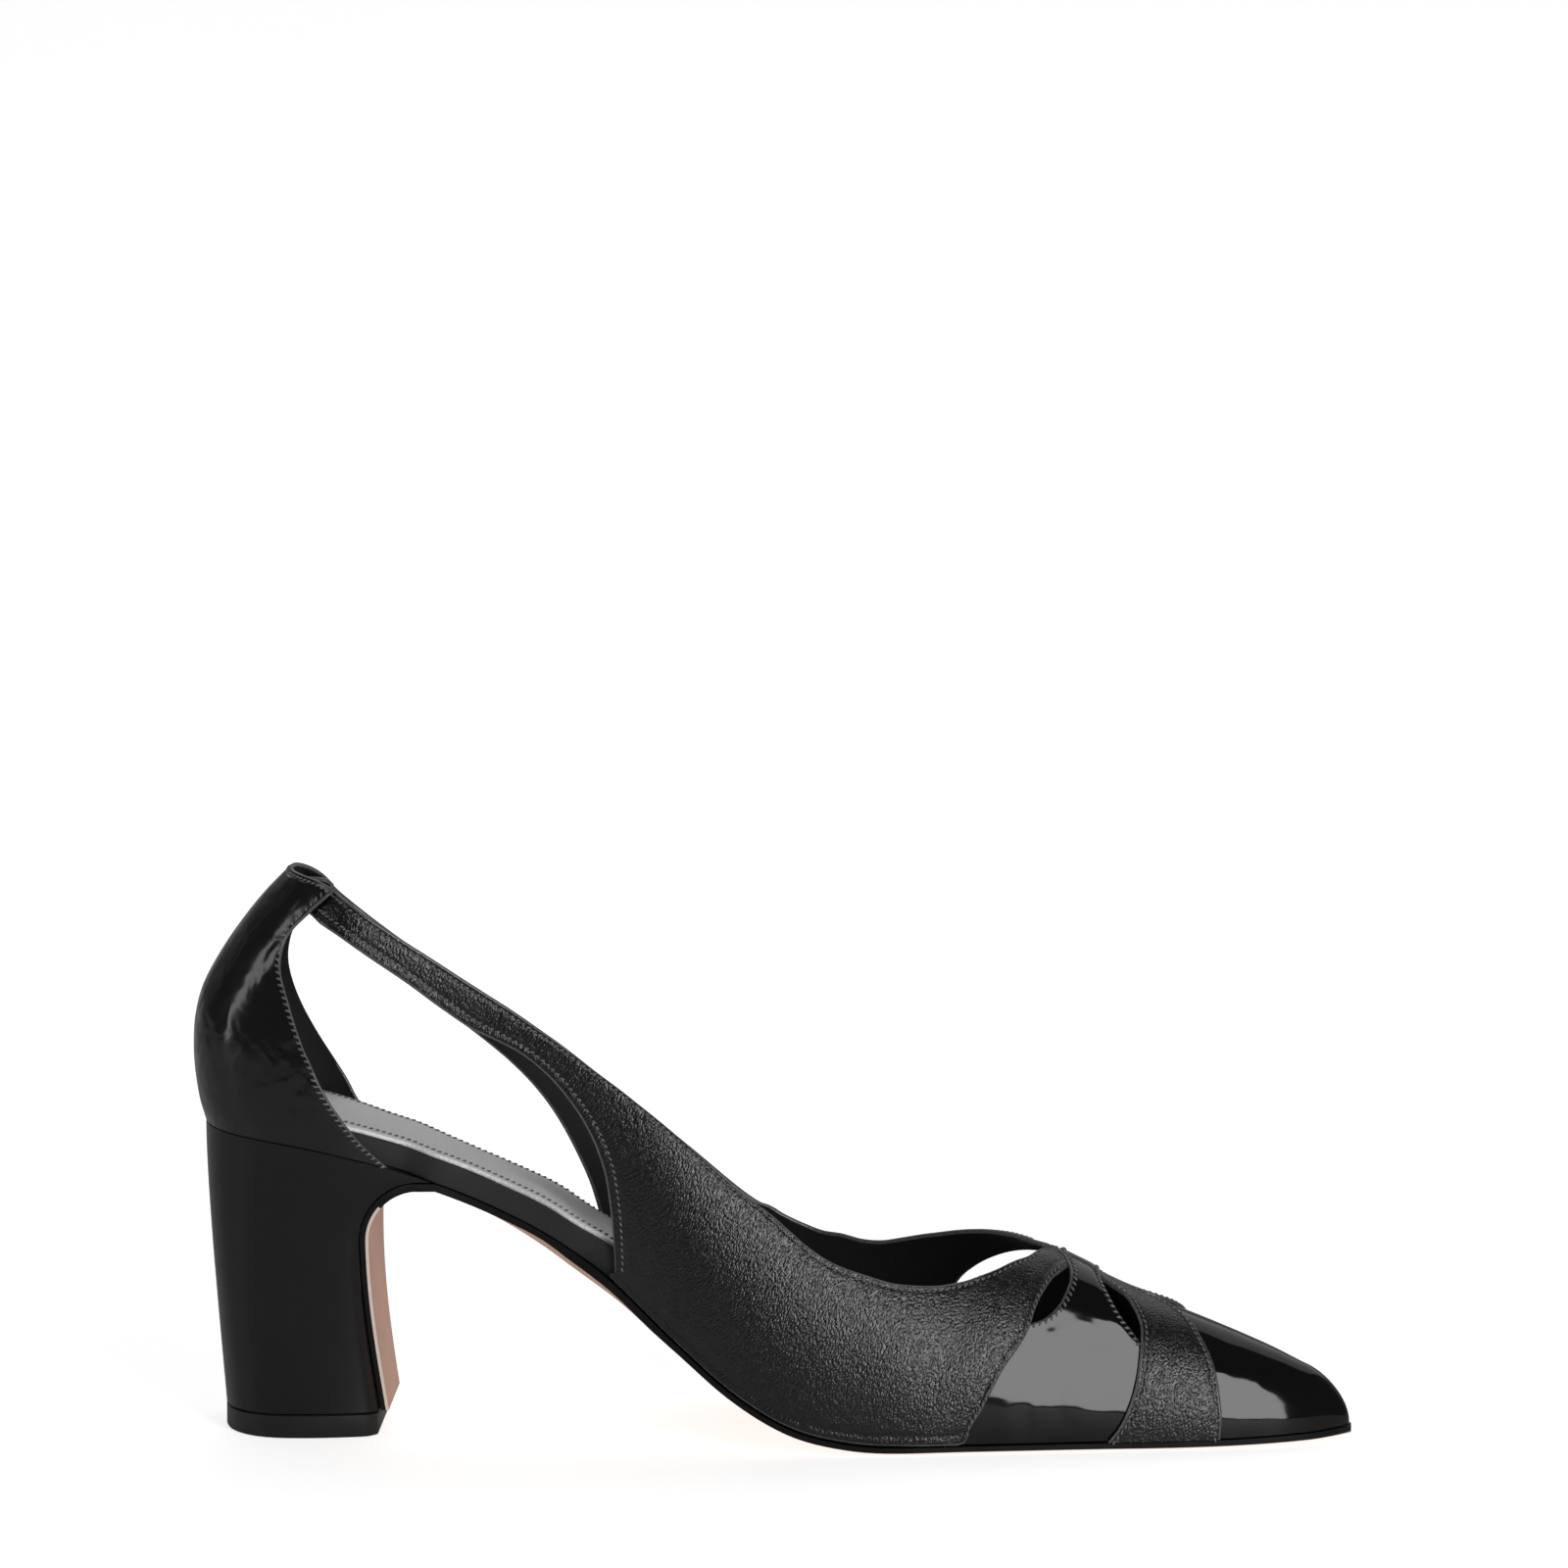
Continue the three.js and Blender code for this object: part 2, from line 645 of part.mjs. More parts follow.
// Rings of a piece inside the upper, from the back of the seat to the toe. Its two heights
// depend on x and on the share of the way from the inner to the outer side.
function insideRings(inset, bottom, top) {
  return INNER_STATIONS.map((station) => {
    const x = stationPlace(station).x;
    const [from, to] = [MEDIAL, LATERAL].map((side) => {
      const edgeShare = side === MEDIAL ? 0 : 1;
      const covered = innerEdge(station, side, top(x, edgeShare) - featherHeight(x) + GAP);
      const open = lastPoint(station, 0, side);
      const share = waistShare(x, side);
      return {
        x: THREE.MathUtils.lerp(covered.x, open.x, share),
        y: THREE.MathUtils.lerp(covered.y, open.y, share),
      };
    });
    const backInset = inset * Math.max(1 - station, 0);
    const rim = inset / (to.y - from.y);
    const row = (height) => spread(rim, 1 - rim, 6).map((share) => {
      const at = THREE.MathUtils.lerp(from.x, to.x, share) + backInset;
      return new THREE.Vector3(at, THREE.MathUtils.lerp(from.y, to.y, share), height(at, share));
    });
    return [...row(bottom), ...row(top).reverse()];
  });
}

// The platform's top face, which the sock lies on, falls to the outer side at the arch
function platformTop(x, share) {
  const along = alongOf(x);
  const rim = THREE.MathUtils.lerp(platformRim[MEDIAL](along), platformRim[LATERAL](along), share);
  return featherHeight(x) + rim * PLATFORM_HEIGHT;
}

function platform() {
  return loft(insideRings(0, featherHeight, platformTop));
}

function sock() {
  const under = (x, share) => platformTop(x, share) + GAP;
  return loft(insideRings(SOCK_INSET, under, (x, share) => under(x, share) + SOCK_THICKNESS));
}

// The heel breast in side view leans forward and turns into the waist on a quarter ellipse
const BREAST_FOOT_X = TOP_PIECE_LENGTH / 2 - SOLE_THICKNESS + FLAP_OVERHANG;
const BREAST_TOP_X = BREAST_FOOT_X - BREAST_LEAN;
const WING_X = BREAST_TOP_X + WING_LENGTH;
const TURN_X = BREAST_TOP_X + TURN_LENGTH;
const TURN_RISE = featherHeight(TURN_X) - SOLE_THICKNESS - BREAST_HEIGHT;
const HEEL_FOOT = TOP_PIECE_THICKNESS + GAP;

// Half the heel's depth in plan at a share of its length from back to breast
function heelFootHalf(share) {
  const full = TOP_PIECE_WIDTH / 2;
  if (share < HEEL_WIDEST) {
    return full * (1 - (1 - share / HEEL_WIDEST) ** HEEL_ROUNDNESS) ** (1 / HEEL_ROUNDNESS);
  }
  const taper = HEEL_TAPER * ((share - HEEL_WIDEST) / (1 - HEEL_WIDEST)) ** 2;
  const corner = HEEL_CORNER * Math.max(1 - (1 - share) / CORNER_SHARE, 0) ** 2;
  return full * (1 - taper - corner);
}

function breastX(z) {
  if (z <= BREAST_HEIGHT) {
    const share = (z - HEEL_FOOT) / (BREAST_HEIGHT - HEEL_FOOT);
    return BREAST_FOOT_X - BREAST_LEAN * Math.sin(share * Math.PI / 2);
  }
  const lift = Math.min((z - BREAST_HEIGHT) / TURN_RISE, 1);
  return TURN_X - TURN_LENGTH * Math.sqrt(1 - lift * lift);
}

const seatHeight = (x) => featherHeight(x) - GAP;

// A level is 0 at the heel's foot and 1 at the seat over it
const heelLevel = (x, z) => (z - HEEL_FOOT) / (seatHeight(x) - HEEL_FOOT);

// The block's front in side view, one gap behind the outsole's flap, up to its thin wing tip
const BLOCK_FRONT = [
  ...spread(HEEL_FOOT, BREAST_HEIGHT, 4).slice(0, -1).map((z) => ({ x: breastX(z) - GAP, z })),
  ...spread(0, Math.PI / 2, 7).map((angle) => ({
    x: TURN_X - (TURN_LENGTH + GAP) * Math.cos(angle),
    z: BREAST_HEIGHT + (TURN_RISE + GAP) * Math.sin(angle),
  })),
  { x: WING_X, z: seatHeight(WING_X) },
];

const HEEL_SHARES = [0, 0.012, 0.045, 0.1, 0.18, 0.3, 0.45, 0.65, 0.85, 0.95, 1];

// Half the heel's width at a share of its length: its own at the foot, the last's at the seat
function heelHalf(share, x, level, side) {
  const station = stationAt(THREE.MathUtils.clamp(alongOf(x), 0, 1));
  const seatHalf = Math.abs(lastPoint(station, 0, side).y);
  return THREE.MathUtils.lerp(heelFootHalf(share), seatHalf, level ** HEEL_FLARE);
}

// One ring of the heel, back from a point on its front
function heelRing(front) {
  const level = heelLevel(front.x, front.z);
  const foot = -TOP_PIECE_LENGTH / 2;
  const back = THREE.MathUtils.lerp(foot, BACK_X, level) - HEEL_BOW * Math.sin(level * Math.PI);
  const edge = (side) => HEEL_SHARES.map((share) => {
    const x = THREE.MathUtils.lerp(back, front.x, share);
    const y = share === 0 ? 0 : side * heelHalf(share, x, level, side);
    return new THREE.Vector3(x, y, HEEL_FOOT + level * (seatHeight(x) - HEEL_FOOT));
  });
  return [...edge(MEDIAL), ...edge(LATERAL).reverse()];
}

function heelBlock() {
  return loft(BLOCK_FRONT.map(heelRing));
}

function topPiece() {
  const ring = (z) => {
    const edge = (side) => HEEL_SHARES.map((share) =>
      new THREE.Vector3((share - 0.5) * TOP_PIECE_LENGTH, side * heelFootHalf(share), z));
    return [...edge(MEDIAL), ...edge(LATERAL).reverse()];
  };
  return loft([ring(0), ring(TOP_PIECE_THICKNESS)]);
}

// One ring of the outsole across the foot: "inner" lies on its top face and "down" points
// out of its underside
function soleRing(inner, down, [from, to], crown) {
  const face = (depth, belly) => spread(0, 1, 8).map((share) => {
    const reach = depth + belly * (1 - (2 * share - 1) ** 2);
    return new THREE.Vector3(inner.x + down.x * reach, from + (to - from) * share, inner.z + down.z * reach);
  });
  return [...face(SOLE_THICKNESS, crown), ...face(0, 0).reverse()];
}

// The outsole covers the heel breast, turns into the waist and follows the foot to the toe
function outsole() {
  const breastRing = (z, down) => {
    const x = breastX(z);
    const edges = [MEDIAL, LATERAL].map((side) => side * heelHalf(1, x, heelLevel(x, z), side));
    return soleRing({ x, z }, down, edges, 0);
  };
  const flap = spread(HEEL_FOOT, BREAST_HEIGHT, 4).map((z) => breastRing(z, { x: 1, z: 0 }));
  const turn = spread(0, Math.PI / 2, 7).slice(1, -1).map((angle) =>
    breastRing(BREAST_HEIGHT + TURN_RISE * Math.sin(angle), { x: Math.cos(angle), z: -Math.sin(angle) }));
  const stations = [...spread(stationAt(alongOf(WING_X + 1)), 2, 30), 2.2, 2.4, 2.6, 2.78, 2.92];
  const foot = stations.map((station) => {
    const x = stationPlace(station).x;
    const edges = [MEDIAL, LATERAL].map((side) => lastPoint(station, 0, side).y + side * SOLE_MARGIN);
    const waist = smooth((x - CROWN_START) / CROWN_RISE) * (1 - smooth((x - CROWN_END) / CROWN_FADE));
    const inner = { x: x + SOLE_MARGIN * Math.max(station - 2, 0), z: seatHeight(x) };
    return soleRing(inner, { x: 0, z: -1 }, edges, WAIST_CROWN * waist);
  });
  return loft([...flap, ...turn, ...foot]);
}

// A named mesh with flat facets from a solid
function piece(name, solid, finish) {
  const { vertProperties, triVerts, numProp } = solid.getMesh();
  const positions = new Float32Array(vertProperties.length / numProp * 3);
  for (let i = 0; i * numProp < vertProperties.length; i += 1) {
    positions.set(vertProperties.subarray(i * numProp, i * numProp + 3), i * 3);
  }
  const geometry = new THREE.BufferGeometry();
  geometry.setAttribute("position", new THREE.BufferAttribute(positions, 3));
  geometry.setIndex(new THREE.BufferAttribute(Uint32Array.from(triVerts), 1));
  geometry.computeVertexNormals();
  const mesh = new THREE.Mesh(geometry, new THREE.MeshStandardMaterial(COLOURS[finish]));
  mesh.name = name;
  return mesh;
}

const shoe = new THREE.Group();
shoe.add(
  piece("upper", upper(), "nappa"),
  piece("heel_counter", counter(), "patent"),
  piece("keeper_band", keeperBand(), "patent"),
  piece("toe_cap", toeCap(), "patent"),
  piece("platform_insole", platform(), "patent"),
  piece("sock_lining", sock(), "lining"),
  piece("outsole", outsole(), "sole"),
  piece("heel_block", heelBlock(), "patent"),
  piece("top_piece", topPiece(), "rubber"),
);

export default shoe;
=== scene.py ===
# %% [markdown]
# # A left pump shoe with a woven vamp
# A shoe is sewn and glued over a wooden last. Each leather piece follows the last's
# surface, so this lesson describes that surface once and then cuts every piece out of it:
# each panel is a region between two edges, lifted a little where it lies over another.
# All sizes are in millimetres until a mesh is made, and then in metres.

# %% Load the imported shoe
import math

import bpy
import numpy as np
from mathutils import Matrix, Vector


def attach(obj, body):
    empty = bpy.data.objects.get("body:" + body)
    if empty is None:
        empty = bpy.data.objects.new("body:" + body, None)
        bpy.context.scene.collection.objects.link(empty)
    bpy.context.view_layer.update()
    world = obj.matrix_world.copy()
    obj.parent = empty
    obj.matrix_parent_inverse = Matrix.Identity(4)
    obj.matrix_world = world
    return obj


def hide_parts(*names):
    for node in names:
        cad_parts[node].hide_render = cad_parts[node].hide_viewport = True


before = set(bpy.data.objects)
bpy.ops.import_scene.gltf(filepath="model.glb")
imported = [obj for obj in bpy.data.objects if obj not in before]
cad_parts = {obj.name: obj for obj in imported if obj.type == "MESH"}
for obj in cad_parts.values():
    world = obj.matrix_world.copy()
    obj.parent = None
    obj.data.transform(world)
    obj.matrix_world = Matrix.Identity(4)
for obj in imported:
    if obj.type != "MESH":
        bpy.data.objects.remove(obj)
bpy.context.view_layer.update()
MM = 0.001
print("CAD nodes:", sorted(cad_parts))

# %% [markdown]
# ## The last
# The wooden last is a row of cross sections from heel to toe. Between two sections the
# widths and heights run on smooth curves. A place on it is a station (0 at the back seam,
# 1 and 2 at the ends of the heel's and the toe's rounds, 3 at the tip), a girth share (0
# at the feather line, where the upper meets the sole, and 1 on the ridge) and a side.
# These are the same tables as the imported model's, so every piece lands on its solid.

# %% Sizes of the last and of the bottom
LAST_LENGTH = 242.6
BALL_WIDTH = 69
SEAT_HEIGHT = 66
INSTEP_RISE = 82
COLLAR_HEIGHT = 54
HEEL_ROUND = 26.6
TOE_ROUND = 9
TOE_SPRING = 1.5
LATERAL_SETBACK = 11
SEAM_FADE_LENGTH = 60.65
HEEL_FULLNESS, TOE_FULLNESS = 0.85, 0.9
UPPER_WALL = 1.2
OVERLAY_WALL = 1.0
COVER_MARGIN = 7
SOLE_THICKNESS = 1.7
SOLE_MARGIN = 0.4
WAIST_CROWN = 3.0
CROWN_START, CROWN_RISE = 34, 26
CROWN_END, CROWN_FADE = 60, 28
PLATFORM_HEIGHT = 5.2
GAP = 0.3
HEEL_SET = 20.6
TOP_PIECE_LENGTH = 33.4
TOP_PIECE_WIDTH = 37.8
TOP_PIECE_THICKNESS = 5
BREAST_HEIGHT = 42.5
BREAST_LEAN = 3.7
FLAP_OVERHANG = 2.2
WING_LENGTH = 14.8
TURN_LENGTH = 11.8
HEEL_BOW = 0.15
MEDIAL, LATERAL = -1, 1
BACK_X = -HEEL_SET
TIP_X = BACK_X + LAST_LENGTH
HEEL_ROUND_X = BACK_X + HEEL_ROUND
TOE_ROUND_X = TIP_X - TOE_ROUND

# %% Tables of the last
SECTION_COLUMNS = ["along", "medial_sole", "lateral_sole", "medial_girth", "lateral_girth",
                   "drop", "spring", "rise", "lean"]
SECTIONS = [
    [0.000, 0.355, 0.355, 0.399, 0.399, 1.000, 0.00, 0.902, 0.000],
    [0.110, 0.355, 0.355, 0.399, 0.399, 0.947, 0.00, 0.944, 0.000],
    [0.159, 0.319, 0.326, 0.391, 0.399, 0.895, 0.00, 0.972, 0.000],
    [0.209, 0.268, 0.275, 0.388, 0.403, 0.826, 0.00, 0.990, 0.000],
    [0.258, 0.249, 0.261, 0.388, 0.413, 0.746, 0.00, 0.991, 0.000],
    [0.316, 0.278, 0.312, 0.394, 0.435, 0.634, 0.00, 0.969, 0.007],
    [0.357, 0.316, 0.374, 0.406, 0.461, 0.526, 0.00, 0.931, 0.014],
    [0.415, 0.377, 0.457, 0.432, 0.507, 0.327, 0.00, 0.903, 0.022],
    [0.464, 0.420, 0.507, 0.452, 0.539, 0.171, 0.00, 0.855, 0.029],
    [0.514, 0.445, 0.536, 0.467, 0.559, 0.060, 0.00, 0.789, 0.029],
    [0.563, 0.452, 0.542, 0.472, 0.564, 0.012, 0.00, 0.691, 0.022],
    [0.613, 0.446, 0.519, 0.467, 0.542, 0.000, 0.00, 0.604, 0.014],
    [0.662, 0.417, 0.464, 0.438, 0.487, 0.000, 0.00, 0.534, 0.000],
    [0.711, 0.391, 0.391, 0.409, 0.412, 0.000, 0.00, 0.476, -0.014],
    [0.757, 0.365, 0.319, 0.381, 0.336, 0.000, 0.00, 0.415, -0.032],
    [0.802, 0.342, 0.252, 0.357, 0.267, 0.000, 0.00, 0.354, -0.049],
    [0.852, 0.322, 0.183, 0.332, 0.194, 0.000, 0.07, 0.303, -0.070],
    [0.901, 0.293, 0.107, 0.300, 0.116, 0.000, 0.20, 0.246, -0.090],
    [0.934, 0.270, 0.043, 0.274, 0.049, 0.000, 0.40, 0.202, -0.104],
    [0.963, 0.238, -0.017, 0.241, -0.014, 0.000, 0.60, 0.158, -0.119],
    [1.000, 0.188, -0.072, 0.188, -0.072, 0.000, 1.00, 0.110, -0.130],
]
BACK_SEAM = [
    [0.000, 0.000], [0.074, -0.022], [0.148, -0.035], [0.287, -0.046], [0.407, -0.039],
    [0.519, -0.011], [0.648, 0.056], [0.759, 0.130], [0.889, 0.233], [1.019, 0.361], [1.148, 0.500],
]


# %% Smooth curves, and the surface of the last
def curve(xs, ys):
    """A smooth curve through points, level at each crest and past its ends."""
    xs, ys = np.array(xs, float), np.array(ys, float)
    widths = np.diff(xs)
    chord = np.diff(ys) / widths
    mean = (chord[:-1] * widths[1:] + chord[1:] * widths[:-1]) / (widths[:-1] + widths[1:])
    inner = np.where(chord[:-1] * chord[1:] <= 0, 0, mean)
    slope = np.concatenate([chord[:1], inner, chord[-1:]])

    def at(value):
        x = np.clip(value, xs[0], xs[-1])
        i = np.clip(np.searchsorted(xs, x) - 1, 0, len(xs) - 2)
        width = xs[i + 1] - xs[i]
        t = (x - xs[i]) / width
        rest = 1 - t
        return ((1 + 2 * t) * rest**2 * ys[i] + t * rest**2 * width * slope[i]
                + t**2 * (3 - 2 * t) * ys[i + 1] - t**2 * rest * width * slope[i + 1])

    return at


def smooth(t):
    t = np.clip(t, 0, 1)
    return t * t * (3 - 2 * t)


def lerp(a, b, t):
    return a + (b - a) * t


def side_curves(table):
    """Curves for the inner and the outer side of rows that hold a place and two values."""
    places, medial, lateral = zip(*table)
    return {MEDIAL: curve(places, medial), LATERAL: curve(places, lateral)}


columns = list(zip(*SECTIONS))
section = {name: curve(columns[0], column) for name, column in zip(SECTION_COLUMNS, columns)}
seam_shift = curve(*zip(*BACK_SEAM))


def along_of(x):
    return (x - BACK_X) / LAST_LENGTH


def feather_height(x):
    along = along_of(x)
    sole = SOLE_THICKNESS + GAP
    return sole + section["drop"](along) * (SEAT_HEIGHT - sole) + section["spring"](along) * TOE_SPRING


def station_x(station):
    heel = HEEL_ROUND_X - HEEL_ROUND * np.cos(np.minimum(station, 1) * math.pi / 2)
    middle = HEEL_ROUND_X + (TOE_ROUND_X - HEEL_ROUND_X) * (station - 1)
    toe = TOE_ROUND_X + TOE_ROUND * np.sin(np.clip(station - 2, 0, 1) * math.pi / 2)
    return np.where(station < 1, heel, np.where(station <= 2, middle, toe))


def station_at(x):
    heel = np.arccos(np.clip((HEEL_ROUND_X - x) / HEEL_ROUND, 0, 1)) * 2 / math.pi
    middle = 1 + (x - HEEL_ROUND_X) / (TOE_ROUND_X - HEEL_ROUND_X)
    toe = 2 + np.arcsin(np.clip((x - TOE_ROUND_X) / TOE_ROUND, 0, 1)) * 2 / math.pi
    return np.where(x < HEEL_ROUND_X, heel, np.where(x <= TOE_ROUND_X, middle, toe))


def last_point(station, girth, side):
    """Points on the outside of the shoe, in mm."""
    station, girth, side = np.broadcast_arrays(np.asarray(station, float), girth, side)
    heel_turn = np.sin(np.clip(station, 0, 1) * math.pi / 2)
    toe_turn = np.clip(np.cos(np.clip(station - 2, 0, 1) * math.pi / 2), 0, 1)
    width_share = np.where(station <= 2, 1, toe_turn**TOE_FULLNESS)
    width_share = np.where(station < 1, heel_turn**HEEL_FULLNESS, width_share)
    rise_share = np.where(station <= 2, 1, toe_turn)
    x = station_x(station)
    along = along_of(x)
    mid = section["lean"](along) * BALL_WIDTH

    def half(column):
        width = np.where(side < 0, section["medial_" + column](along), section["lateral_" + column](along))
        return mid + (side * width * BALL_WIDTH - mid) * width_share

    sole_y, girth_y = half("sole"), half("girth")
    angle = girth * math.pi / 2
    rise = section["rise"](along) * INSTEP_RISE * rise_share * np.sin(angle)
    heel_fade = 1 - smooth((x - BACK_X) / SEAM_FADE_LENGTH)
    return np.stack([
        x + seam_shift(rise / COLLAR_HEIGHT) * COLLAR_HEIGHT * heel_fade,
        mid + (girth_y - mid) * np.cos(angle) - (girth_y - sole_y) * (1 - girth)**3,
        feather_height(x) + rise,
    ], axis=-1)


def outward(station, girth, side):
    """Unit vectors out of the shoe."""
    station, girth, side = np.broadcast_arrays(np.asarray(station, float), girth, side)
    step = 0.002
    up = (last_point(station, np.minimum(girth + step, 1), side)
          - last_point(station, np.maximum(girth - step, 0), side))
    level = np.zeros_like(up)
    level[..., 1] = -side
    up = np.where((girth >= 1 - step)[..., None], level, up)
    ahead = (last_point(np.minimum(station + step, 3), girth, side)
             - last_point(np.maximum(station - step, 0), girth, side))
    ahead = np.where((station <= step)[..., None], -level, ahead)
    normal = np.cross(ahead, up) * -side[..., None]
    normal = np.where((station > 2.985)[..., None], [1.0, 0, 0], normal)
    return normal / np.linalg.norm(normal, axis=-1, keepdims=True)


print("last from", last_point(0, 0, MEDIAL).round(1), "to", last_point(3, 0, MEDIAL).round(1))

# %% [markdown]
# ## Camera, floor and light
# The photograph is a product shot from the inner side of the foot, through a long lens, a
# little above the floor. The long lens is what keeps the far edges of the shoe so close to
# the near ones. The ground is a pale sweep that runs up behind the shoe, and a large soft
# box near the camera makes the grey patch on the patent keeper band.

# %% Camera
AZIMUTH, ELEVATION, DISTANCE = 2.5, 10.5, 2000
VIEW_CENTRE = np.array([100.0, 0.0, 58.0])
IMAGE_WIDTH_MM = 332.8
SHIFT_RIGHT, SHIFT_UP = 2.0, 78.9
SENSOR = 36


def view_axes(azimuth, elevation):
    a, e = math.radians(azimuth), math.radians(elevation)
    right = np.array([math.cos(a), math.sin(a), 0])
    ahead = np.array([-math.sin(a) * math.cos(e), math.cos(a) * math.cos(e), -math.sin(e)])
    return right, ahead, np.cross(right, ahead)


right, ahead, up = view_axes(AZIMUTH, ELEVATION)
eye = VIEW_CENTRE - DISTANCE * ahead
aim = VIEW_CENTRE + SHIFT_RIGHT * right + SHIFT_UP * up
camera_data = bpy.data.cameras.new("photo_camera")
camera_data.sensor_width = SENSOR
camera_data.lens = SENSOR * np.linalg.norm(aim - eye) / IMAGE_WIDTH_MM
camera_data.clip_start, camera_data.clip_end = 0.05, 50
camera = bpy.data.objects.new("photo_camera", camera_data)
bpy.context.scene.collection.objects.link(camera)
camera.location = eye * MM
camera.rotation_mode = "QUATERNION"
camera.rotation_quaternion = Vector(aim - eye).to_track_quat("-Z", "Y")
bpy.context.scene.camera = camera
print("lens", round(camera_data.lens, 1), "mm, camera at", camera.location)


# %% Node helpers
def new_group(name, inputs, outputs):
    tree = bpy.data.node_groups.new(name, "ShaderNodeTree")
    for label, kind, value in inputs:
        socket = tree.interface.new_socket(label, in_out="INPUT", socket_type=kind)
        socket.default_value = value
    for label, kind in outputs:
        tree.interface.new_socket(label, in_out="OUTPUT", socket_type=kind)
    return tree, tree.nodes.new("NodeGroupInput"), tree.nodes.new("NodeGroupOutput")


def add(tree, kind, settings=None, **inputs):
    """A node with its settings made and its named inputs set or linked."""
    node = tree.nodes.new(kind)
    for name, value in (settings or {}).items():
        setattr(node, name, value)
    for name, value in inputs.items():
        socket = node.inputs[name.replace("_", " ")]
        if isinstance(value, bpy.types.NodeSocket):
            tree.links.new(value, socket)
        else:
            socket.default_value = value
    return node


def math_node(tree, operation, *values):
    node = tree.nodes.new("ShaderNodeMath")
    node.operation = operation
    for socket, value in zip(node.inputs, values):
        if isinstance(value, bpy.types.NodeSocket):
            tree.links.new(value, socket)
        else:
            socket.default_value = value
    return node.outputs[0]


FLOAT, VECTOR, COLOR = "NodeSocketFloat", "NodeSocketVector", "NodeSocketColor"


# %% Floor, soft boxes and the dim studio around them
def mesh_object(name, vertices, faces, materials=(), slots=None):
    """A smooth mesh at the origin, from points in metres."""
    mesh = bpy.data.meshes.new(name)
    mesh.from_pydata(np.asarray(vertices).tolist(), [], faces)
    for material in materials:
        mesh.materials.append(material)
    if slots is not None:
        mesh.polygons.foreach_set("material_index", slots)
    mesh.shade_smooth()
    made = bpy.data.objects.new(name, mesh)
    bpy.context.scene.collection.objects.link(made)
    return made


def plain_material(name, color, roughness):
    material = bpy.data.materials.new(name)
    material.use_nodes = True
    shader = material.node_tree.nodes["Principled BSDF"]
    shader.inputs["Base Color"].default_value = (*color, 1)
    shader.inputs["Roughness"].default_value = roughness
    return material


SWEEP_HALF_WIDTH, SWEEP_FRONT, SWEEP_BACK, SWEEP_RADIUS, SWEEP_TOP = 5.0, -0.7, 2.4, 1.0, 4.0
FLOOR_GLOW, FLOOR_GLOW_BOUNCED, FLOOR_GLOW_MIRRORED = 0.71, 0.5, 0.02
FLOOR_PALE, FLOOR_MIRRORED_PALE = 0.9, 0.6
profile = [(SWEEP_FRONT, 0), (SWEEP_BACK - SWEEP_RADIUS, 0)]
for step in range(1, 13):
    turn = step / 12 * math.pi / 2
    profile.append((SWEEP_BACK - SWEEP_RADIUS + SWEEP_RADIUS * math.sin(turn),
                    SWEEP_RADIUS * (1 - math.cos(turn))))
profile.append((SWEEP_BACK, SWEEP_TOP))
sweep_points = [(x, y, z) for y, z in profile for x in (-SWEEP_HALF_WIDTH, SWEEP_HALF_WIDTH)]
sweep_faces = [(2 * i, 2 * i + 1, 2 * i + 3, 2 * i + 2) for i in range(len(profile) - 1)]
pale_floor = plain_material("pale_floor", (FLOOR_PALE,) * 3, 0.5)
floor_tree = pale_floor.node_tree
floor_shader = floor_tree.nodes["Principled BSDF"]
floor_shader.inputs["Specular IOR Level"].default_value = 0.1
floor_shader.inputs["Emission Color"].default_value = (1, 1, 1, 1)
ray = floor_tree.nodes.new("ShaderNodeLightPath").outputs
bounced = math_node(floor_tree, "MULTIPLY_ADD", ray["Is Diffuse Ray"],
                    FLOOR_GLOW_BOUNCED - FLOOR_GLOW_MIRRORED, FLOOR_GLOW_MIRRORED)
glow = math_node(floor_tree, "MULTIPLY_ADD", ray["Is Camera Ray"],
                 FLOOR_GLOW - FLOOR_GLOW_MIRRORED, bounced)
floor_tree.links.new(glow, floor_shader.inputs["Emission Strength"])
paleness = math_node(floor_tree, "MULTIPLY_ADD", ray["Is Glossy Ray"],
                     FLOOR_MIRRORED_PALE - FLOOR_PALE, FLOOR_PALE)
floor_tree.links.new(paleness, floor_shader.inputs["Base Color"])
sweep = mesh_object("floor_sweep", sweep_points, sweep_faces, [pale_floor])


def soft_box(name, place, target, size, power):
    """A rectangular area light that faces a point."""
    data = bpy.data.lights.new(name, "AREA")
    data.shape = "RECTANGLE"
    data.size, data.size_y = size
    data.energy = power
    light = bpy.data.objects.new(name, data)
    bpy.context.scene.collection.objects.link(light)
    light.location = place
    light.rotation_mode = "QUATERNION"
    light.rotation_quaternion = (Vector(target) - Vector(place)).to_track_quat("-Z", "Y")
    light.visible_camera = False
    return light


soft_box("box_near_camera", (0.75, -1.2, 0.69), (0.75, 0, 0.69), (0.54, 1.33), 11.9)
soft_box("panel_behind", (0.15, 1.25, 1.35), (0.1, 0, 0.05), (2.6, 1.6), 7.0)
soft_box("box_heel_side", (-1.3, -0.35, 0.55), (0, 0, 0.06), (0.25, 1.1), 2.0)

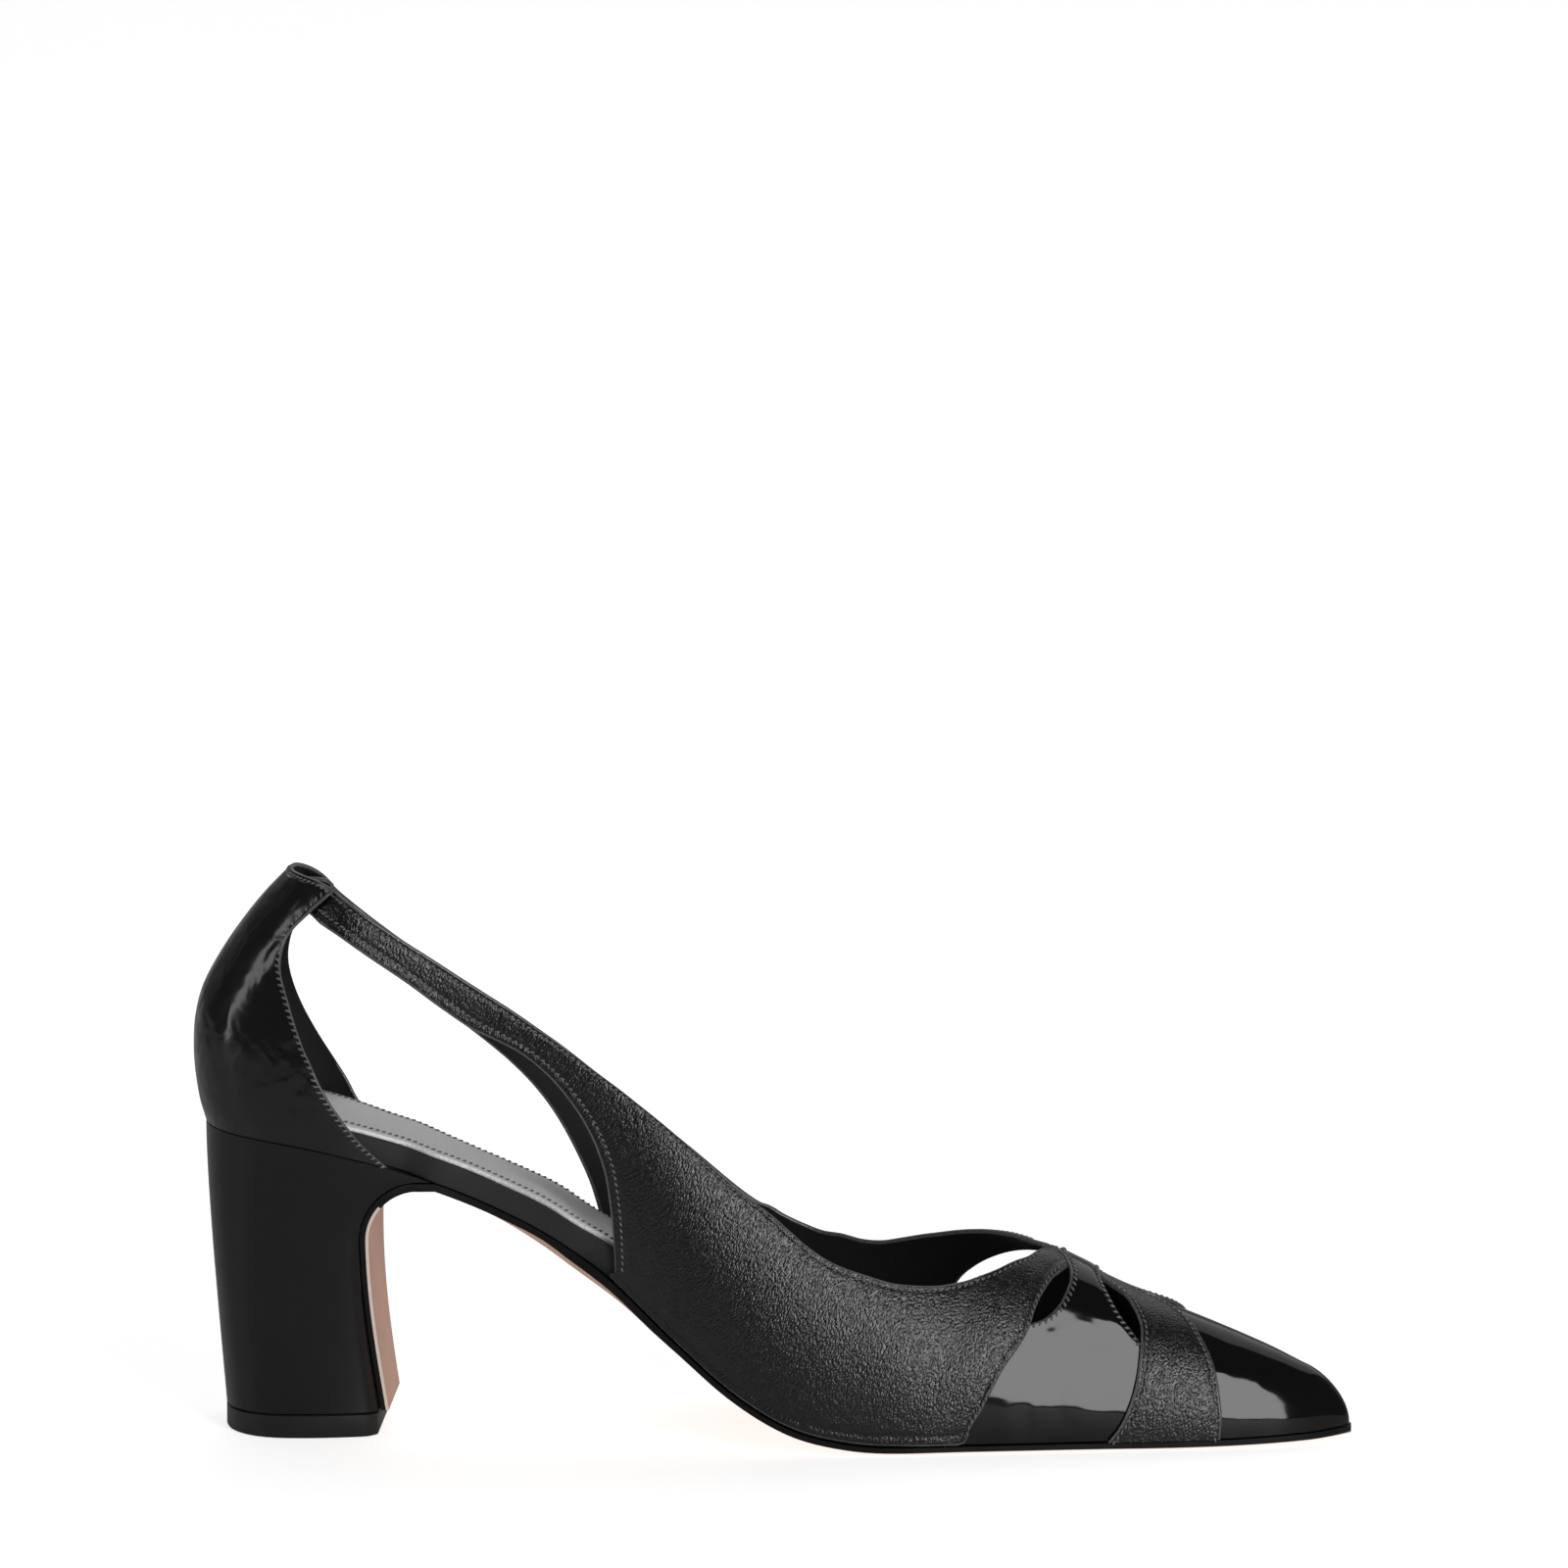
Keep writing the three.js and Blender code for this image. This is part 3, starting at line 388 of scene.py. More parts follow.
world = bpy.data.worlds.new("dim_studio")
world.use_nodes = True
surroundings = world.node_tree
dim = surroundings.nodes["Background"]
dim.inputs["Color"].default_value = (0.5, 0.5, 0.51, 1)
dim.inputs["Strength"].default_value = 0.12
pale = add(surroundings, "ShaderNodeBackground", Color=(1, 1, 1, 1), Strength=1.12)
seen = surroundings.nodes.new("ShaderNodeLightPath").outputs["Is Camera Ray"]
either = surroundings.nodes.new("ShaderNodeMixShader")
surroundings.links.new(seen, either.inputs[0])
surroundings.links.new(dim.outputs[0], either.inputs[1])
surroundings.links.new(pale.outputs[0], either.inputs[2])
surroundings.links.new(either.outputs[0], surroundings.nodes["World Output"].inputs["Surface"])
bpy.context.scene.world = world
bpy.context.scene.view_settings.view_transform = "Standard"

# %% [markdown]
# ## Shared effects
# Three effects turn up on more than one leather, so each is a node group: the fine pebble
# grain of nappa, the slow ripples that lacquer keeps from the leather below it, and the
# slight colour drift that keeps a large panel from looking like plastic.

# %% Leather grain: pebbles with a finer noise, stretched where the pores run
GRAIN_TURN = -28
grain_tree, grain_in, grain_out = new_group(
    "leather_grain",
    [("Vector", VECTOR, (0, 0, 0)), ("Pebbles per metre", FLOAT, 1500.0), ("Stretch", FLOAT, 1.7)],
    [("Height", FLOAT)],
)
turned = add(grain_tree, "ShaderNodeMapping", Vector=grain_in.outputs["Vector"],
             Rotation=(0, math.radians(GRAIN_TURN), 0))
wander = add(grain_tree, "ShaderNodeTexNoise", Vector=turned.outputs["Vector"], Scale=420.0, Detail=2.0)
shifted = add(grain_tree, "ShaderNodeVectorMath", {"operation": "MULTIPLY_ADD"})
grain_tree.links.new(wander.outputs["Color"], shifted.inputs[0])
shifted.inputs[1].default_value = (0.0009, 0.0009, 0.0009)
grain_tree.links.new(turned.outputs["Vector"], shifted.inputs[2])
stretch = add(grain_tree, "ShaderNodeCombineXYZ", X=grain_in.outputs["Stretch"],
              Y=grain_in.outputs["Stretch"], Z=1.0)
long_pores = add(grain_tree, "ShaderNodeVectorMath", {"operation": "MULTIPLY"})
grain_tree.links.new(shifted.outputs["Vector"], long_pores.inputs[0])
grain_tree.links.new(stretch.outputs["Vector"], long_pores.inputs[1])
pebbles = add(grain_tree, "ShaderNodeTexVoronoi", {"feature": "SMOOTH_F1"},
              Vector=long_pores.outputs["Vector"], Scale=grain_in.outputs["Pebbles per metre"],
              Smoothness=0.35, Randomness=1.0)
finer = add(grain_tree, "ShaderNodeTexNoise", Vector=shifted.outputs["Vector"], Scale=3800.0, Detail=2.0)
dome = math_node(grain_tree, "SUBTRACT", 1.0, pebbles.outputs["Distance"])
height = math_node(grain_tree, "ADD", dome, math_node(grain_tree, "MULTIPLY", finer.outputs["Fac"], 0.35))
grain_tree.links.new(height, grain_out.inputs["Height"])

# %% Ripples under lacquer, and the colour drift of a dyed skin
ripple_tree, ripple_in, ripple_out = new_group(
    "lacquer_ripples",
    [("Vector", VECTOR, (0, 0, 0)), ("Ripples per metre", FLOAT, 60.0)],
    [("Height", FLOAT)],
)
slow = add(ripple_tree, "ShaderNodeTexNoise", Vector=ripple_in.outputs["Vector"],
           Scale=ripple_in.outputs["Ripples per metre"], Detail=1.5, Distortion=0.4)
ripple_tree.links.new(slow.outputs["Fac"], ripple_out.inputs["Height"])

drift_tree, drift_in, drift_out = new_group(
    "dye_drift",
    [("Vector", VECTOR, (0, 0, 0)), ("Dark", COLOR, (0, 0, 0, 1)), ("Light", COLOR, (1, 1, 1, 1)),
     ("Patches per metre", FLOAT, 70.0)],
    [("Color", COLOR), ("Mask", FLOAT)],
)
patches = add(drift_tree, "ShaderNodeTexNoise", Vector=drift_in.outputs["Vector"],
              Scale=drift_in.outputs["Patches per metre"], Detail=4.0, Roughness=0.6)
drift_mix = add(drift_tree, "ShaderNodeMix", {"data_type": "RGBA"})
drift_tree.links.new(patches.outputs["Fac"], drift_mix.inputs[0])
drift_tree.links.new(drift_in.outputs["Dark"], drift_mix.inputs[6])
drift_tree.links.new(drift_in.outputs["Light"], drift_mix.inputs[7])
drift_tree.links.new(drift_mix.outputs[2], drift_out.inputs["Color"])
drift_tree.links.new(patches.outputs["Fac"], drift_out.inputs["Mask"])
print("node groups:", [tree.name for tree in (grain_tree, ripple_tree, drift_tree)])


# %% [markdown]
# ## Finishes
# Every finish starts from the same recipe: object coordinates, a drifting colour, and a
# height that feeds a bump. What differs is the gloss. Nappa is matte with a grain that
# breaks its highlight up, patent leather is a smooth lacquer, the insole's sock is a
# metallic foil on leather, and the sole is plain vegetable-tanned leather.

# %% A recipe for all the leathers
def leather_material(name, dark, light, roughness, height_group=None, height_values=None,
                     bump=(0.0, 0.0), patches=70.0, rough_swing=0.0, gloss=0.5):
    material = bpy.data.materials.new(name)
    material.use_nodes = True
    tree = material.node_tree
    shader = tree.nodes["Principled BSDF"]
    place = tree.nodes.new("ShaderNodeTexCoord").outputs["Object"]
    drift = add(tree, "ShaderNodeGroup", {"node_tree": drift_tree}, Vector=place,
                Dark=(*dark, 1), Light=(*light, 1), Patches_per_metre=patches)
    tree.links.new(drift.outputs["Color"], shader.inputs["Base Color"])
    shader.inputs["Roughness"].default_value = roughness
    shader.inputs["Specular IOR Level"].default_value = gloss
    if rough_swing:
        swing = math_node(tree, "MULTIPLY_ADD", drift.outputs["Mask"], rough_swing,
                          roughness - rough_swing / 2)
        tree.links.new(swing, shader.inputs["Roughness"])
    if height_group:
        relief = add(tree, "ShaderNodeGroup", {"node_tree": height_group}, Vector=place,
                     **(height_values or {}))
        bumps = add(tree, "ShaderNodeBump", Strength=bump[0], Distance=bump[1],
                    Height=relief.outputs["Height"])
        tree.links.new(bumps.outputs["Normal"], shader.inputs["Normal"])
    return material


nappa = leather_material("black_nappa", (0.004, 0.004, 0.004), (0.008, 0.008, 0.0085), 0.23,
                         grain_tree, {"Pebbles_per_metre": 1300.0, "Stretch": 2.1},
                         (1.0, 0.00012), rough_swing=0.1, gloss=0.85)
lining = leather_material("black_lining", (0.006, 0.006, 0.006), (0.011, 0.011, 0.011), 0.6,
                          grain_tree, {"Pebbles_per_metre": 2200.0, "Stretch": 1.0}, (0.3, 0.00008),
                          gloss=0.3)
patent = leather_material("black_patent", (0.003, 0.003, 0.0035), (0.005, 0.005, 0.0055), 0.06,
                          ripple_tree, {"Ripples_per_metre": 70.0}, (0.6, 0.0006))
counter_patent = leather_material("counter_patent", (0.006, 0.006, 0.0065), (0.009, 0.009, 0.0095),
                                  0.16, ripple_tree, {"Ripples_per_metre": 150.0}, (0.8, 0.0007),
                                  gloss=0.6)
heel_cover = leather_material("heel_cover", (0.0095, 0.0095, 0.010), (0.012, 0.012, 0.0125), 0.27,
                              ripple_tree, {"Ripples_per_metre": 90.0}, (0.2, 0.0003), gloss=0.35)
platform_cover = leather_material("platform_cover", (0.027, 0.027, 0.028), (0.035, 0.035, 0.036),
                                  0.5, ripple_tree, {"Ripples_per_metre": 160.0}, (0.2, 0.0002),
                                  gloss=0.15)
foil_sock = leather_material("foil_sock", (0.74, 0.74, 0.74), (1.0, 1.0, 1.0), 0.42,
                             grain_tree, {"Pebbles_per_metre": 1800.0, "Stretch": 1.0},
                             (0.8, 0.00012), patches=1500.0, rough_swing=0.16)
foil_sock.node_tree.nodes["Principled BSDF"].inputs["Metallic"].default_value = 0.2
sole_leather = leather_material("sole_leather", (0.50, 0.315, 0.235), (0.62, 0.41, 0.315), 0.5,
                                grain_tree, {"Pebbles_per_metre": 3200.0, "Stretch": 0.5},
                                (0.2, 0.00005), patches=220.0, gloss=0.3)
edge_paint = leather_material("edge_paint", (0.004, 0.004, 0.004), (0.008, 0.008, 0.008), 0.35,
                              ripple_tree, {"Ripples_per_metre": 700.0}, (0.3, 0.0001), gloss=0.25)
raw_edge = leather_material("raw_edge", (0.66, 0.54, 0.47), (0.78, 0.66, 0.60), 0.55,
                            grain_tree, {"Pebbles_per_metre": 4200.0, "Stretch": 2.5},
                            (0.3, 0.00005), patches=900.0)
# The rims are glossy, which is real, and their lighter grey colour is a painted highlight: it stands for
# the bright line of light along each rolled edge of the black leather.
rim_lacquer = leather_material("rim_lacquer", (0.02, 0.02, 0.02), (0.16, 0.16, 0.16), 0.22,
                               ripple_tree, {"Ripples_per_metre": 900.0}, (0.5, 0.00012),
                               patches=900.0, gloss=1.0)
rubber = leather_material("heel_rubber", (0.010, 0.010, 0.010), (0.016, 0.016, 0.016), 0.38,
                          grain_tree, {"Pebbles_per_metre": 3000.0, "Stretch": 1.0}, (0.25, 0.00004))
# The thread is black; its lighter grey colour is a painted sheen that makes the stitches read as light
# dashes.
thread = leather_material("black_thread_painted_sheen", (0.03, 0.03, 0.03), (0.2, 0.2, 0.2), 0.22,
                          ripple_tree, {"Ripples_per_metre": 2500.0}, (0.4, 0.0001), patches=900.0,
                          gloss=1.0)
print("finishes:", sorted(material.name for material in bpy.data.materials))

# %% [markdown]
# ## How a leather piece is cut
# A cut and folded piece of leather has a rounded rim, a slight valley along each line of
# stitches, and the same thickness all over. The class below samples a region of the
# last with columns close together near the rims, lifts the outer and the lining side off
# the surface, and lets them meet in a half round at every free edge. It could be done with
# a Solidify and a Bevel modifier, but those round by angle and can't follow the stitches.

# %% Sampling a region of the last
RIM_STEPS = np.array([0, 0.04, 0.15, 0.3, 0.5, 0.75, 1.05, 1.4, 1.75, 2.1, 2.5, 3.1])
VALLEY_DEPTH, VALLEY_WIDTH = 0.16, 0.42
SAMPLES_ALONG, SAMPLES_ACROSS = 600, 121
SHELL_MERGE, LOFT_MERGE, SHARP_ANGLE = 0.004, 0.002, 40


def spaced(length, between, free):
    """Distances in mm across a piece: close together at its free edges, then even."""
    near = RIM_STEPS * min(1, 0.45 * length / RIM_STEPS[-1])
    start = near if free[0] else near[:1]
    end = length - near[::-1] if free[1] else np.array([length])
    middle = np.linspace(start[-1], end[0], between + 2)[1:-1]
    return np.concatenate([start, middle, end])


def lengths(points, axis):
    steps = np.linalg.norm(np.diff(points, axis=axis), axis=-1)
    zero = np.zeros_like(np.take(steps, [0], axis=axis))
    return np.concatenate([zero, np.cumsum(steps, axis=axis)], axis=axis)


class Panel:
    """A piece of leather on the last. place(u, v) gives station, girth and side.

    u runs along the piece and v across it, each from 0 to 1. "free" names the rims that
    are rounded and "stitched" how far in from a rim its seam lies, in mm."""

    def __init__(self, name, place, lift, wall, pitch, free, stitched=None):
        self.name = name
        us = np.linspace(0, 1, SAMPLES_ALONG)
        ends = np.array([0, 0.5, 1])
        reach = lengths(last_point(*place(us[:, None], ends[None, :])), 0).max(axis=1)
        along = spaced(reach[-1], int(reach[-1] / pitch), ("start" in free, "end" in free))
        u = np.interp(along, reach, us)
        vs = np.linspace(0, 1, SAMPLES_ACROSS)
        across = lengths(last_point(*place(u[:, None], vs[None, :])), 1)
        between = int(across[:, -1].max() / pitch)
        rims = ("low" in free, "high" in free)
        v = np.array([np.interp(spaced(row[-1], between, rims), row, vs) for row in across])
        self.places = np.broadcast_arrays(*place(np.broadcast_to(u[:, None], v.shape), v))
        self.base = last_point(*self.places)
        self.normal = outward(*self.places)
        from_start, from_low = lengths(self.base, 0), lengths(self.base, 1)
        self.inset = {
            "start": from_start, "end": from_start[-1] - from_start,
            "low": from_low, "high": from_low[:, -1:] - from_low,
        }
        self.rim_distance = np.min([self.inset[rim] for rim in free], axis=0)
        half = wall / 2
        self.drop = half - np.sqrt(half**2 - (half - np.minimum(self.rim_distance, half))**2)
        self.lift = lift(station_x(self.places[0]), self.places[1], self.places[2])
        valley = np.zeros(v.shape)
        for rim, seam in (stitched or {}).items():
            valley = np.maximum(valley, np.exp(-((self.inset[rim] - seam) / VALLEY_WIDTH)**2))
        self.outer = self.base + self.normal * (self.lift - self.drop - VALLEY_DEPTH * valley)[..., None]
        self.inner = self.base + self.normal * (self.lift - wall + self.drop)[..., None]

    def seam(self, rim, seam):
        """The line that lies this far in from a rim, with the way out at each point."""
        across = self.inset[rim]
        rows = [(across[i], self.outer[i], self.normal[i]) for i in range(len(across))]
        if rim in ("start", "end"):
            rows = [(across[:, j], self.outer[:, j], self.normal[:, j]) for j in range(across.shape[1])]
        line = []
        for distance, points, normals in rows:
            order = np.argsort(distance)
            line.append([np.interp(seam, distance[order], part[order, k])
                         for part in (points, normals) for k in range(3)])
        return np.array(line)


# %% From a region to a closed piece
def closed_shell(name, outer, inner, materials, on_rim):
    """Two grids joined along their rims: slot 0 outside, 1 on the lining, 2 on the rims."""
    rows, cols = outer.shape[:2]
    points = np.concatenate([outer.reshape(-1, 3), inner.reshape(-1, 3)])
    keys = np.round(points / SHELL_MERGE).astype(np.int64)
    _, first, same = np.unique(keys, axis=0, return_index=True, return_inverse=True)
    same = same.reshape(-1)
    o = lambda i, j: same[i * cols + j]
    n = lambda i, j: same[rows * cols + i * cols + j]
    quads, slots = [], []
    for i in range(rows - 1):
        for j in range(cols - 1):
            quads.append((o(i, j), o(i, j + 1), o(i + 1, j + 1), o(i + 1, j)))
            quads.append((n(i + 1, j), n(i + 1, j + 1), n(i, j + 1), n(i, j)))
            slots += [2, 2] if on_rim[i, j] else [0, 1]
        quads.append((o(i, 0), o(i + 1, 0), n(i + 1, 0), n(i, 0)))
        quads.append((o(i + 1, cols - 1), o(i, cols - 1), n(i, cols - 1), n(i + 1, cols - 1)))
        slots += [2, 2]
    for j in range(cols - 1):
        quads.append((o(0, j + 1), o(0, j), n(0, j), n(0, j + 1)))
        quads.append((o(rows - 1, j), o(rows - 1, j + 1), n(rows - 1, j + 1), n(rows - 1, j)))
        slots += [2, 2]
    return solid_object(name, points[first], quads, slots, materials)


def solid_object(name, points, polygons, slots, materials):
    """Drops collapsed corners, turns the shell so that it faces outward, and makes it."""
    faces, kept = [], []
    for polygon, slot in zip(polygons, slots):
        corners = [int(c) for k, c in enumerate(polygon) if c != polygon[k - 1]]
        if len(set(corners)) == len(corners) >= 3:
            faces.append(corners)
            kept.append(slot)
    volume = 0.0
    for face in faces:
        a = points[face[0]]
        for b, c in zip(face[1:], face[2:]):
            volume += np.dot(a, np.cross(points[b], points[c]))
    if volume < 0:
        faces = [face[::-1] for face in faces]
    made = mesh_object(name, points * MM, faces, materials, kept)
    made.data.set_sharp_from_angle(angle=math.radians(SHARP_ANGLE))
    print(f"{name}: {len(faces)} faces, {abs(volume) / 6000:.1f} cm3")
    return made


# Faces this close to a free rim, in mm, take the third slot, the rim colour with its painted highlight.
RIM_WIDTH = 0.42


def leather_piece(panel, materials):
    near = panel.rim_distance
    middle = (near[:-1, :-1] + near[1:, :-1] + near[:-1, 1:] + near[1:, 1:]) / 4
    return closed_shell(panel.name, panel.outer, panel.inner, materials, middle < RIM_WIDTH)


# %% [markdown]
# ## Edges of the upper
# The edges were read off the photograph as pairs of a place along the shoe, in mm from the
# middle of the heel, and a girth share. The outer side can't be seen in full, so it
# follows the same edges, set back a little over the ball of the foot as on real shoes.

# %% Edge tables
TOPLINE = [
    [0.000, 0.521, 0.521], [0.040, 0.504, 0.470], [0.059, 0.490, 0.443], [0.093, 0.461, 0.400],
    [0.150, 0.422, 0.348], [0.197, 0.399, 0.319], [0.237, 0.382, 0.299], [0.305, 0.361, 0.268],
]
COUNTER_EDGE = [
    [0.00, 0.166, 0.142], [0.05, 0.151, 0.131], [0.17, 0.128, 0.118], [0.36, 0.104, 0.093],
    [0.54, 0.081, 0.070], [0.67, 0.056, 0.054], [0.78, 0.047, 0.048], [0.88, 0.052, 0.052],
    [1.00, 0.059, 0.059],
]
topline, counter_edge = side_curves(TOPLINE), side_curves(COUNTER_EDGE)


def on_side(curves, side, value):
    return np.where(side < 0, curves[MEDIAL](value), curves[LATERAL](value))


# Upper edge x and girth, then lower edge x and girth, from the strap's end to the ridge
MEDIAL_QUARTER = [
    [-17, 0.513, -14, 0.455], [-10.8, 0.504, -8.5, 0.437], [-6.3, 0.490, -4, 0.418],
    [2, 0.461, 4, 0.392], [15.8, 0.422, 14, 0.359], [27.2, 0.399, 23, 0.333],
    [36.9, 0.382, 31, 0.309], [45.3, 0.369, 38.5, 0.295], [53.5, 0.361, 45.3, 0.295],
    [61.8, 0.365, 51.5, 0.287], [70, 0.381, 56.7, 0.270], [78.3, 0.401, 61.5, 0.241],
    [86.5, 0.417, 64.8, 0.195], [94.8, 0.431, 66.2, 0.139], [100.8, 0.440, 66.9, 0.079],
    [104.7, 0.436, 67.2, 0.023], [108.6, 0.431, 67.4, 0], [113.2, 0.433, 88, 0],
    [120.6, 0.451, 108, 0], [126.9, 0.464, 125, 0], [134.3, 0.499, 139.5, 0],
    [138, 0.529, 142.4, 0.06], [141.1, 0.562, 144.9, 0.12], [144.4, 0.608, 149.2, 0.26],
    [147.5, 0.659, 152.1, 0.34], [149.6, 0.705, 154.3, 0.425], [151.5, 0.750, 156.0, 0.545],
    [153.6, 0.803, 157.6, 0.635], [155.1, 0.870, 159.3, 0.728], [156.7, 0.940, 161.2, 0.812],
    [158.9, 0.995, 162.6, 0.880], [163.5, 1.0, 163.5, 0.93],
]
LATERAL_QUARTER = [
    [-17, 0.485, -14, 0.40], [-10.8, 0.470, -8.5, 0.385], [-6.1, 0.443, -4, 0.365],
    [2, 0.400, 4, 0.325], [15.8, 0.348, 14, 0.285], [27.2, 0.319, 23, 0.256],
    [36.9, 0.299, 31, 0.231], [45.3, 0.281, 38, 0.210], [53.5, 0.268, 42.2, 0.196],
    [61.8, 0.266, 46.4, 0.177], [70, 0.271, 50.5, 0.151], [78.3, 0.281, 54.6, 0.113],
    [86.5, 0.291, 58.8, 0.060], [94.8, 0.301, 61.3, 0.009], [98, 0.315, 62.5, 0],
    [100.6, 0.319, 72, 0], [104.8, 0.331, 88, 0], [109.1, 0.346, 104, 0],
    [113.3, 0.371, 118, 0], [117.6, 0.388, 127.0, 0], [121.9, 0.416, 130.0, 0.08],
    [126.2, 0.460, 133.8, 0.20], [130.5, 0.511, 138.4, 0.36], [134.8, 0.568, 142.3, 0.455],
    [139.1, 0.638, 146.8, 0.55], [143.4, 0.713, 151.0, 0.64], [147.7, 0.787, 154.4, 0.72],
    [152, 0.862, 157.4, 0.80], [156.0, 0.945, 160.2, 0.88], [158.9, 0.998, 162, 0.95],
    [163.5, 1.0, 163.5, 0.97],
]

# Edges over the vamp: girth share, then x on the inner side
QUARTER_FRONT = [[0, 139.5], [0.12, 144.9], [0.26, 149.2], [0.34, 152.1], [0.425, 154.3],
                 [0.545, 155.8], [0.629, 157], [0.713, 158.3], [0.812, 159.8], [0.93, 161.7], [1, 163]]
BAND_REAR = [[0, 136], [0.12, 141], [0.26, 146], [0.38, 150.4], [0.44, 153.6], [0.485, 157],
             [0.567, 160.2], [0.66, 161.8], [0.76, 162.5], [0.84, 162.2], [0.9, 161.5],
             [0.96, 160.6], [1, 159.3]]
BAND_FRONT = [[0, 177], [0.2, 180], [0.36, 182], [0.44, 181.4], [0.489, 179.1], [0.573, 176.3],
              [0.623, 174.3], [0.72, 171.5], [0.84, 169.4], [1, 168.6]]
CROSS_REAR = [[0, 171], [0.059, 173.1], [0.169, 175.4], [0.278, 176.7], [0.419, 177.5],
              [0.594, 177.7], [0.667, 177.1], [0.76, 175.7], [0.86, 173.3], [0.9, 171],
              [0.94, 168.5], [1, 167]]
CROSS_FRONT = [[0, 194.6], [0.129, 194.9], [0.254, 194.5], [0.405, 193.7], [0.54, 192.3],
               [0.678, 190.1], [0.837, 186.7], [0.94, 181.9], [1, 176.4]]


def vamp_edge(table, shift=0, outer_shift=0):
    """An edge over the vamp on either side: the outer side sits back over the ball."""
    medial = curve(*zip(*table))

    def edge(girth, side):
        setback = LATERAL_SETBACK * (1 - smooth(girth)) + outer_shift * (1 - girth**8)
        return medial(girth) + shift - np.where(side > 0, setback, 0)

    return edge


# %% Regions: between matched edges, over the ridge, and round the heel
def between_edges(table, side):
    """Rungs from an upper edge (v = 1) to a lower edge (v = 0) on one side of the shoe."""
    knots = np.arange(len(table)) / (len(table) - 1)
    top_x, top_girth, low_x, low_girth = (curve(knots, column) for column in zip(*table))

    def place(u, v):
        station = lerp(station_at(low_x(u)), station_at(top_x(u)), v)
        return station, lerp(low_girth(u), top_girth(u), v), np.full(np.shape(v), side)

    return place


def over_ridge(rear, front):
    """A band over the ridge, from the inner side (u = 0) to the outer, rear to front."""

    def place(u, v):
        turn = 2 * u - 1
        girth, side = 1 - np.abs(turn), np.where(turn < 0, MEDIAL, LATERAL)
        rear_station = station_at(rear(girth, side))
        front_station = front(girth, side) if callable(front) else front
        if callable(front):
            front_station = station_at(front_station)
        return lerp(rear_station, front_station, v), girth, side

    return place


def round_heel(u, v):
    """The counter: from its inner front edge (u = 0) round the back to its outer one."""
    turn = 2 * u - 1
    side = np.where(turn < 0, MEDIAL, LATERAL)
    station = np.abs(turn) * station_at(BACK_X + on_side(counter_edge, side, v) * LAST_LENGTH)
    return station, v * on_side(topline, side, along_of(station_x(station))), side


# %% [markdown]
# ## The pieces of the upper
# Going forward from the heel: a patent counter, a nappa quarter on each side with a slim
# strap that runs back into the counter, a patent keeper band, a nappa cross strap and a
# patent toe cap. At the ridge the keeper band lies on top of everything. Lower down it
# dives under the quarters and under the cross strap, and that makes it look woven.

# %% Lifts off the last, in mm
FRONT_LIFT, THROAT_LIFT = 0.62, 0.55
THROAT_GIRTH, THROAT_X = 0.72, 154
BAND_LOW_LIFT, BAND_HIGH_LIFT = -0.7, 1.55
BAND_BEVEL, BAND_BEVEL_WIDTH = 0.4, 2.4
CROSS_LIFT, CAP_LIFT, COUNTER_LIFT = 0.85, -0.08, 0.02


def quarter_lift(x, girth, side):
    height = np.clip(girth / on_side(topline, side, along_of(x)), 0, 1)
    edge = on_side(counter_edge, side, height)
    covered = 1 - smooth((along_of(x) - edge) * LAST_LENGTH / COVER_MARGIN)
    front = smooth(1 - (vamp_edge(QUARTER_FRONT)(girth, side) - x - 5) / 10)
    throat = smooth((girth - THROAT_GIRTH) / 0.2) * smooth((x - THROAT_X) / 4)
    return FRONT_LIFT * front + THROAT_LIFT * throat - (OVERLAY_WALL + GAP) * covered


def band_lift(x, girth, side):
    high = smooth((girth - 0.43) / 0.36)
    bevel = smooth((x - vamp_edge(BAND_FRONT)(girth, side) + BAND_BEVEL_WIDTH) / BAND_BEVEL_WIDTH)
    return lerp(BAND_LOW_LIFT, BAND_HIGH_LIFT, high) - BAND_BEVEL * bevel * high


def even_lift(height):
    return lambda x, girth, side: 0.0 * x + height


# %% Cut the pieces
EDGE_SEAM, TOP_SEAM, FRONT_SEAM, BEAD_SEAM = 2.2, 1.2, 1.2, 1.0
QUARTER_FRONT_SEAM, COUNTER_BEAD_SEAM = 0.9, 1.2
PITCH, BAND_WALL = 1.5, 1.1
BAND_REAR_OUTER_SHIFT, CROSS_REAR_OUTER_SHIFT, CAP_UNDER_STRAP = 2.5, 6, 4
TIP_STATION = 3.0
band_rear = vamp_edge(BAND_REAR, outer_shift=BAND_REAR_OUTER_SHIFT)
band_front = vamp_edge(BAND_FRONT)
cross_rear = vamp_edge(CROSS_REAR, outer_shift=CROSS_REAR_OUTER_SHIFT)
cross_front = vamp_edge(CROSS_FRONT)
cap_tuck = vamp_edge(CROSS_FRONT, -CAP_UNDER_STRAP)
